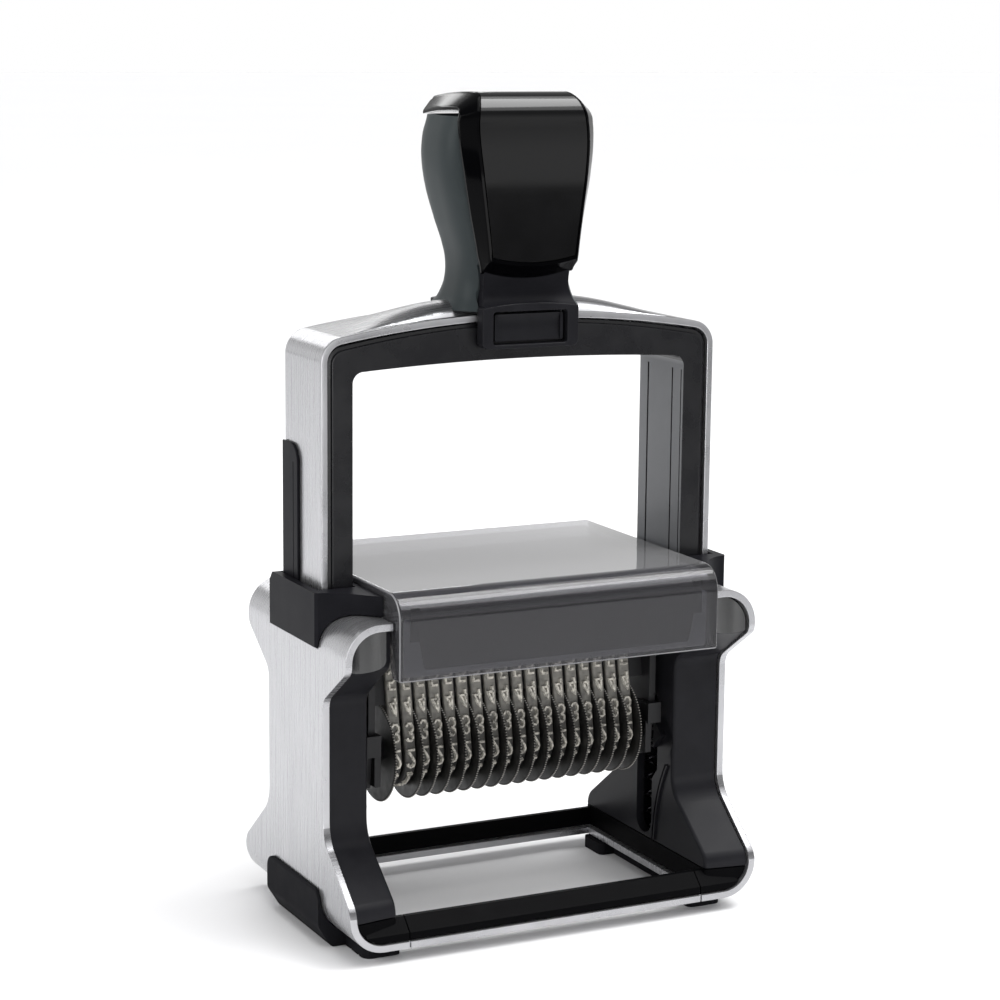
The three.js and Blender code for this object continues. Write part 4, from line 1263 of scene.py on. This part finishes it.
def camera():
    """The photo's view: a fit to its straight edges, with the base taken as 100 mm wide."""
    azimuth, elevation, roll = (radians(a) for a in (-26.52, 10.32, 0.56))
    position = Vector((-258.6, -517.3, 198.0)) * MM
    back = Vector((sin(azimuth) * cos(elevation),
                   -cos(azimuth) * cos(elevation), sin(elevation)))
    level = Vector((cos(azimuth), sin(azimuth), 0))
    above = back.cross(level)
    right = level * cos(roll) + above * sin(roll)
    up = above * cos(roll) - level * sin(roll)
    data = bpy.data.cameras.new("camera")
    data.sensor_width = 36
    data.lens = 94.54
    data.clip_start = 0.01
    made = bpy.data.objects.new("camera", data)
    turn = Matrix((right, up, back)).transposed().to_4x4()
    made.matrix_world = Matrix.Translation(position) @ turn
    bpy.context.scene.camera = linked(made)


def softbox(name, position, target, width, height, power):
    data = bpy.data.lights.new(name, "AREA")
    data.shape = "RECTANGLE"
    data.size = width
    data.size_y = height
    data.energy = power
    made = bpy.data.objects.new(name, data)
    aim = (Vector(target) - Vector(position)).to_track_quat("-Z", "Y")
    made.matrix_world = Matrix.Translation(position) @ aim.to_matrix().to_4x4()
    linked(made)


def studio():
    nodes = Nodes("floor_white")
    nodes.shade(Base_Color=nodes.mix(nodes.noise(0.4, 2), (0.86, 0.86, 0.87), (0.88, 0.88, 0.88)),
                Roughness=0.6)
    nodes.shade(Specular_IOR_Level=0.2)
    mesh = bpy.data.meshes.new("floor")
    left, front, far = -0.75, -0.35, 9.0
    mesh.from_pydata([(left, front, 0), (far, front, 0), (far, far, 0), (left, far, 0)], [],
                     [[0, 1, 2, 3]])
    mesh.materials.append(nodes.material)
    floor = linked(bpy.data.objects.new("floor", mesh))
    world = bpy.data.worlds.new("studio")
    world.use_nodes = True
    tree = world.node_tree
    link = tree.links.new
    place = tree.nodes.new("ShaderNodeTexCoord")
    split = tree.nodes.new("ShaderNodeSeparateXYZ")
    link(place.outputs["Generated"], split.inputs[0])
    ramp = tree.nodes.new("ShaderNodeValToRGB")
    lift = tree.nodes.new("ShaderNodeMath")
    lift.operation = "ADD"
    lift.inputs[1].default_value = 0.06
    link(split.outputs["Z"], lift.inputs[0])
    link(lift.outputs[0], ramp.inputs[0])
    stops = ramp.color_ramp.elements
    stops[0].position, stops[0].color = 0.0, (0.22, 0.22, 0.22, 1)
    stops[1].position, stops[1].color = 1.0, (0.35, 0.35, 0.36, 1)
    for position, level in ((0.03, 1.0), (0.2, 1.0), (0.5, 0.35)):
        stops.new(position).color = (level, level, level, 1)
    seen = tree.nodes.new("ShaderNodeMix")
    seen.data_type = "RGBA"
    link(tree.nodes.new("ShaderNodeLightPath").outputs["Is Camera Ray"],
                   seen.inputs[0])
    link(ramp.outputs[0], seen.inputs[6])
    seen.inputs[7].default_value = (1, 1, 1, 1)
    link(seen.outputs[2], tree.nodes["Background"].inputs["Color"])
    tree.nodes["Background"].inputs["Strength"].default_value = 1.0
    bpy.context.scene.world = world
    middle = (0, 0, 0.09)
    sun = bpy.data.lights.new("overhead", "SUN")
    sun.energy = 2.6
    sun.angle = radians(70)
    lamp = bpy.data.objects.new("overhead", sun)
    lamp.rotation_euler = (radians(12), radians(14), 0)
    linked(lamp)
    softbox("top_light", (0.42, -0.2, 1.0), middle, 0.6, 0.34, 5)
    softbox("left_light", (-0.9, 0.1, 0.5), middle, 0.3, 0.7, 3)
    softbox("back_light", (0.1, 1.0, 0.55), middle, 0.8, 0.12, 1.2)
    softbox("front_light", (-0.05, -0.8, 0.05), middle, 0.34, 0.16, 0.9)
    bpy.context.scene.view_settings.view_transform = "Standard"


camera()
base_shell()
base_frame()
cheek()
foot()
collar()
hood()
pad_housing()
pad_cartridge()
bow_shell()
bow_liner()
slide_bar()
handle()
lock_button()
number_bands()
thumbwheels()
return_spring()
head_frame()
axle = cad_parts["wheel_axle"]
axle.data.materials.clear()
axle.data.materials.append(STEEL)
studio()
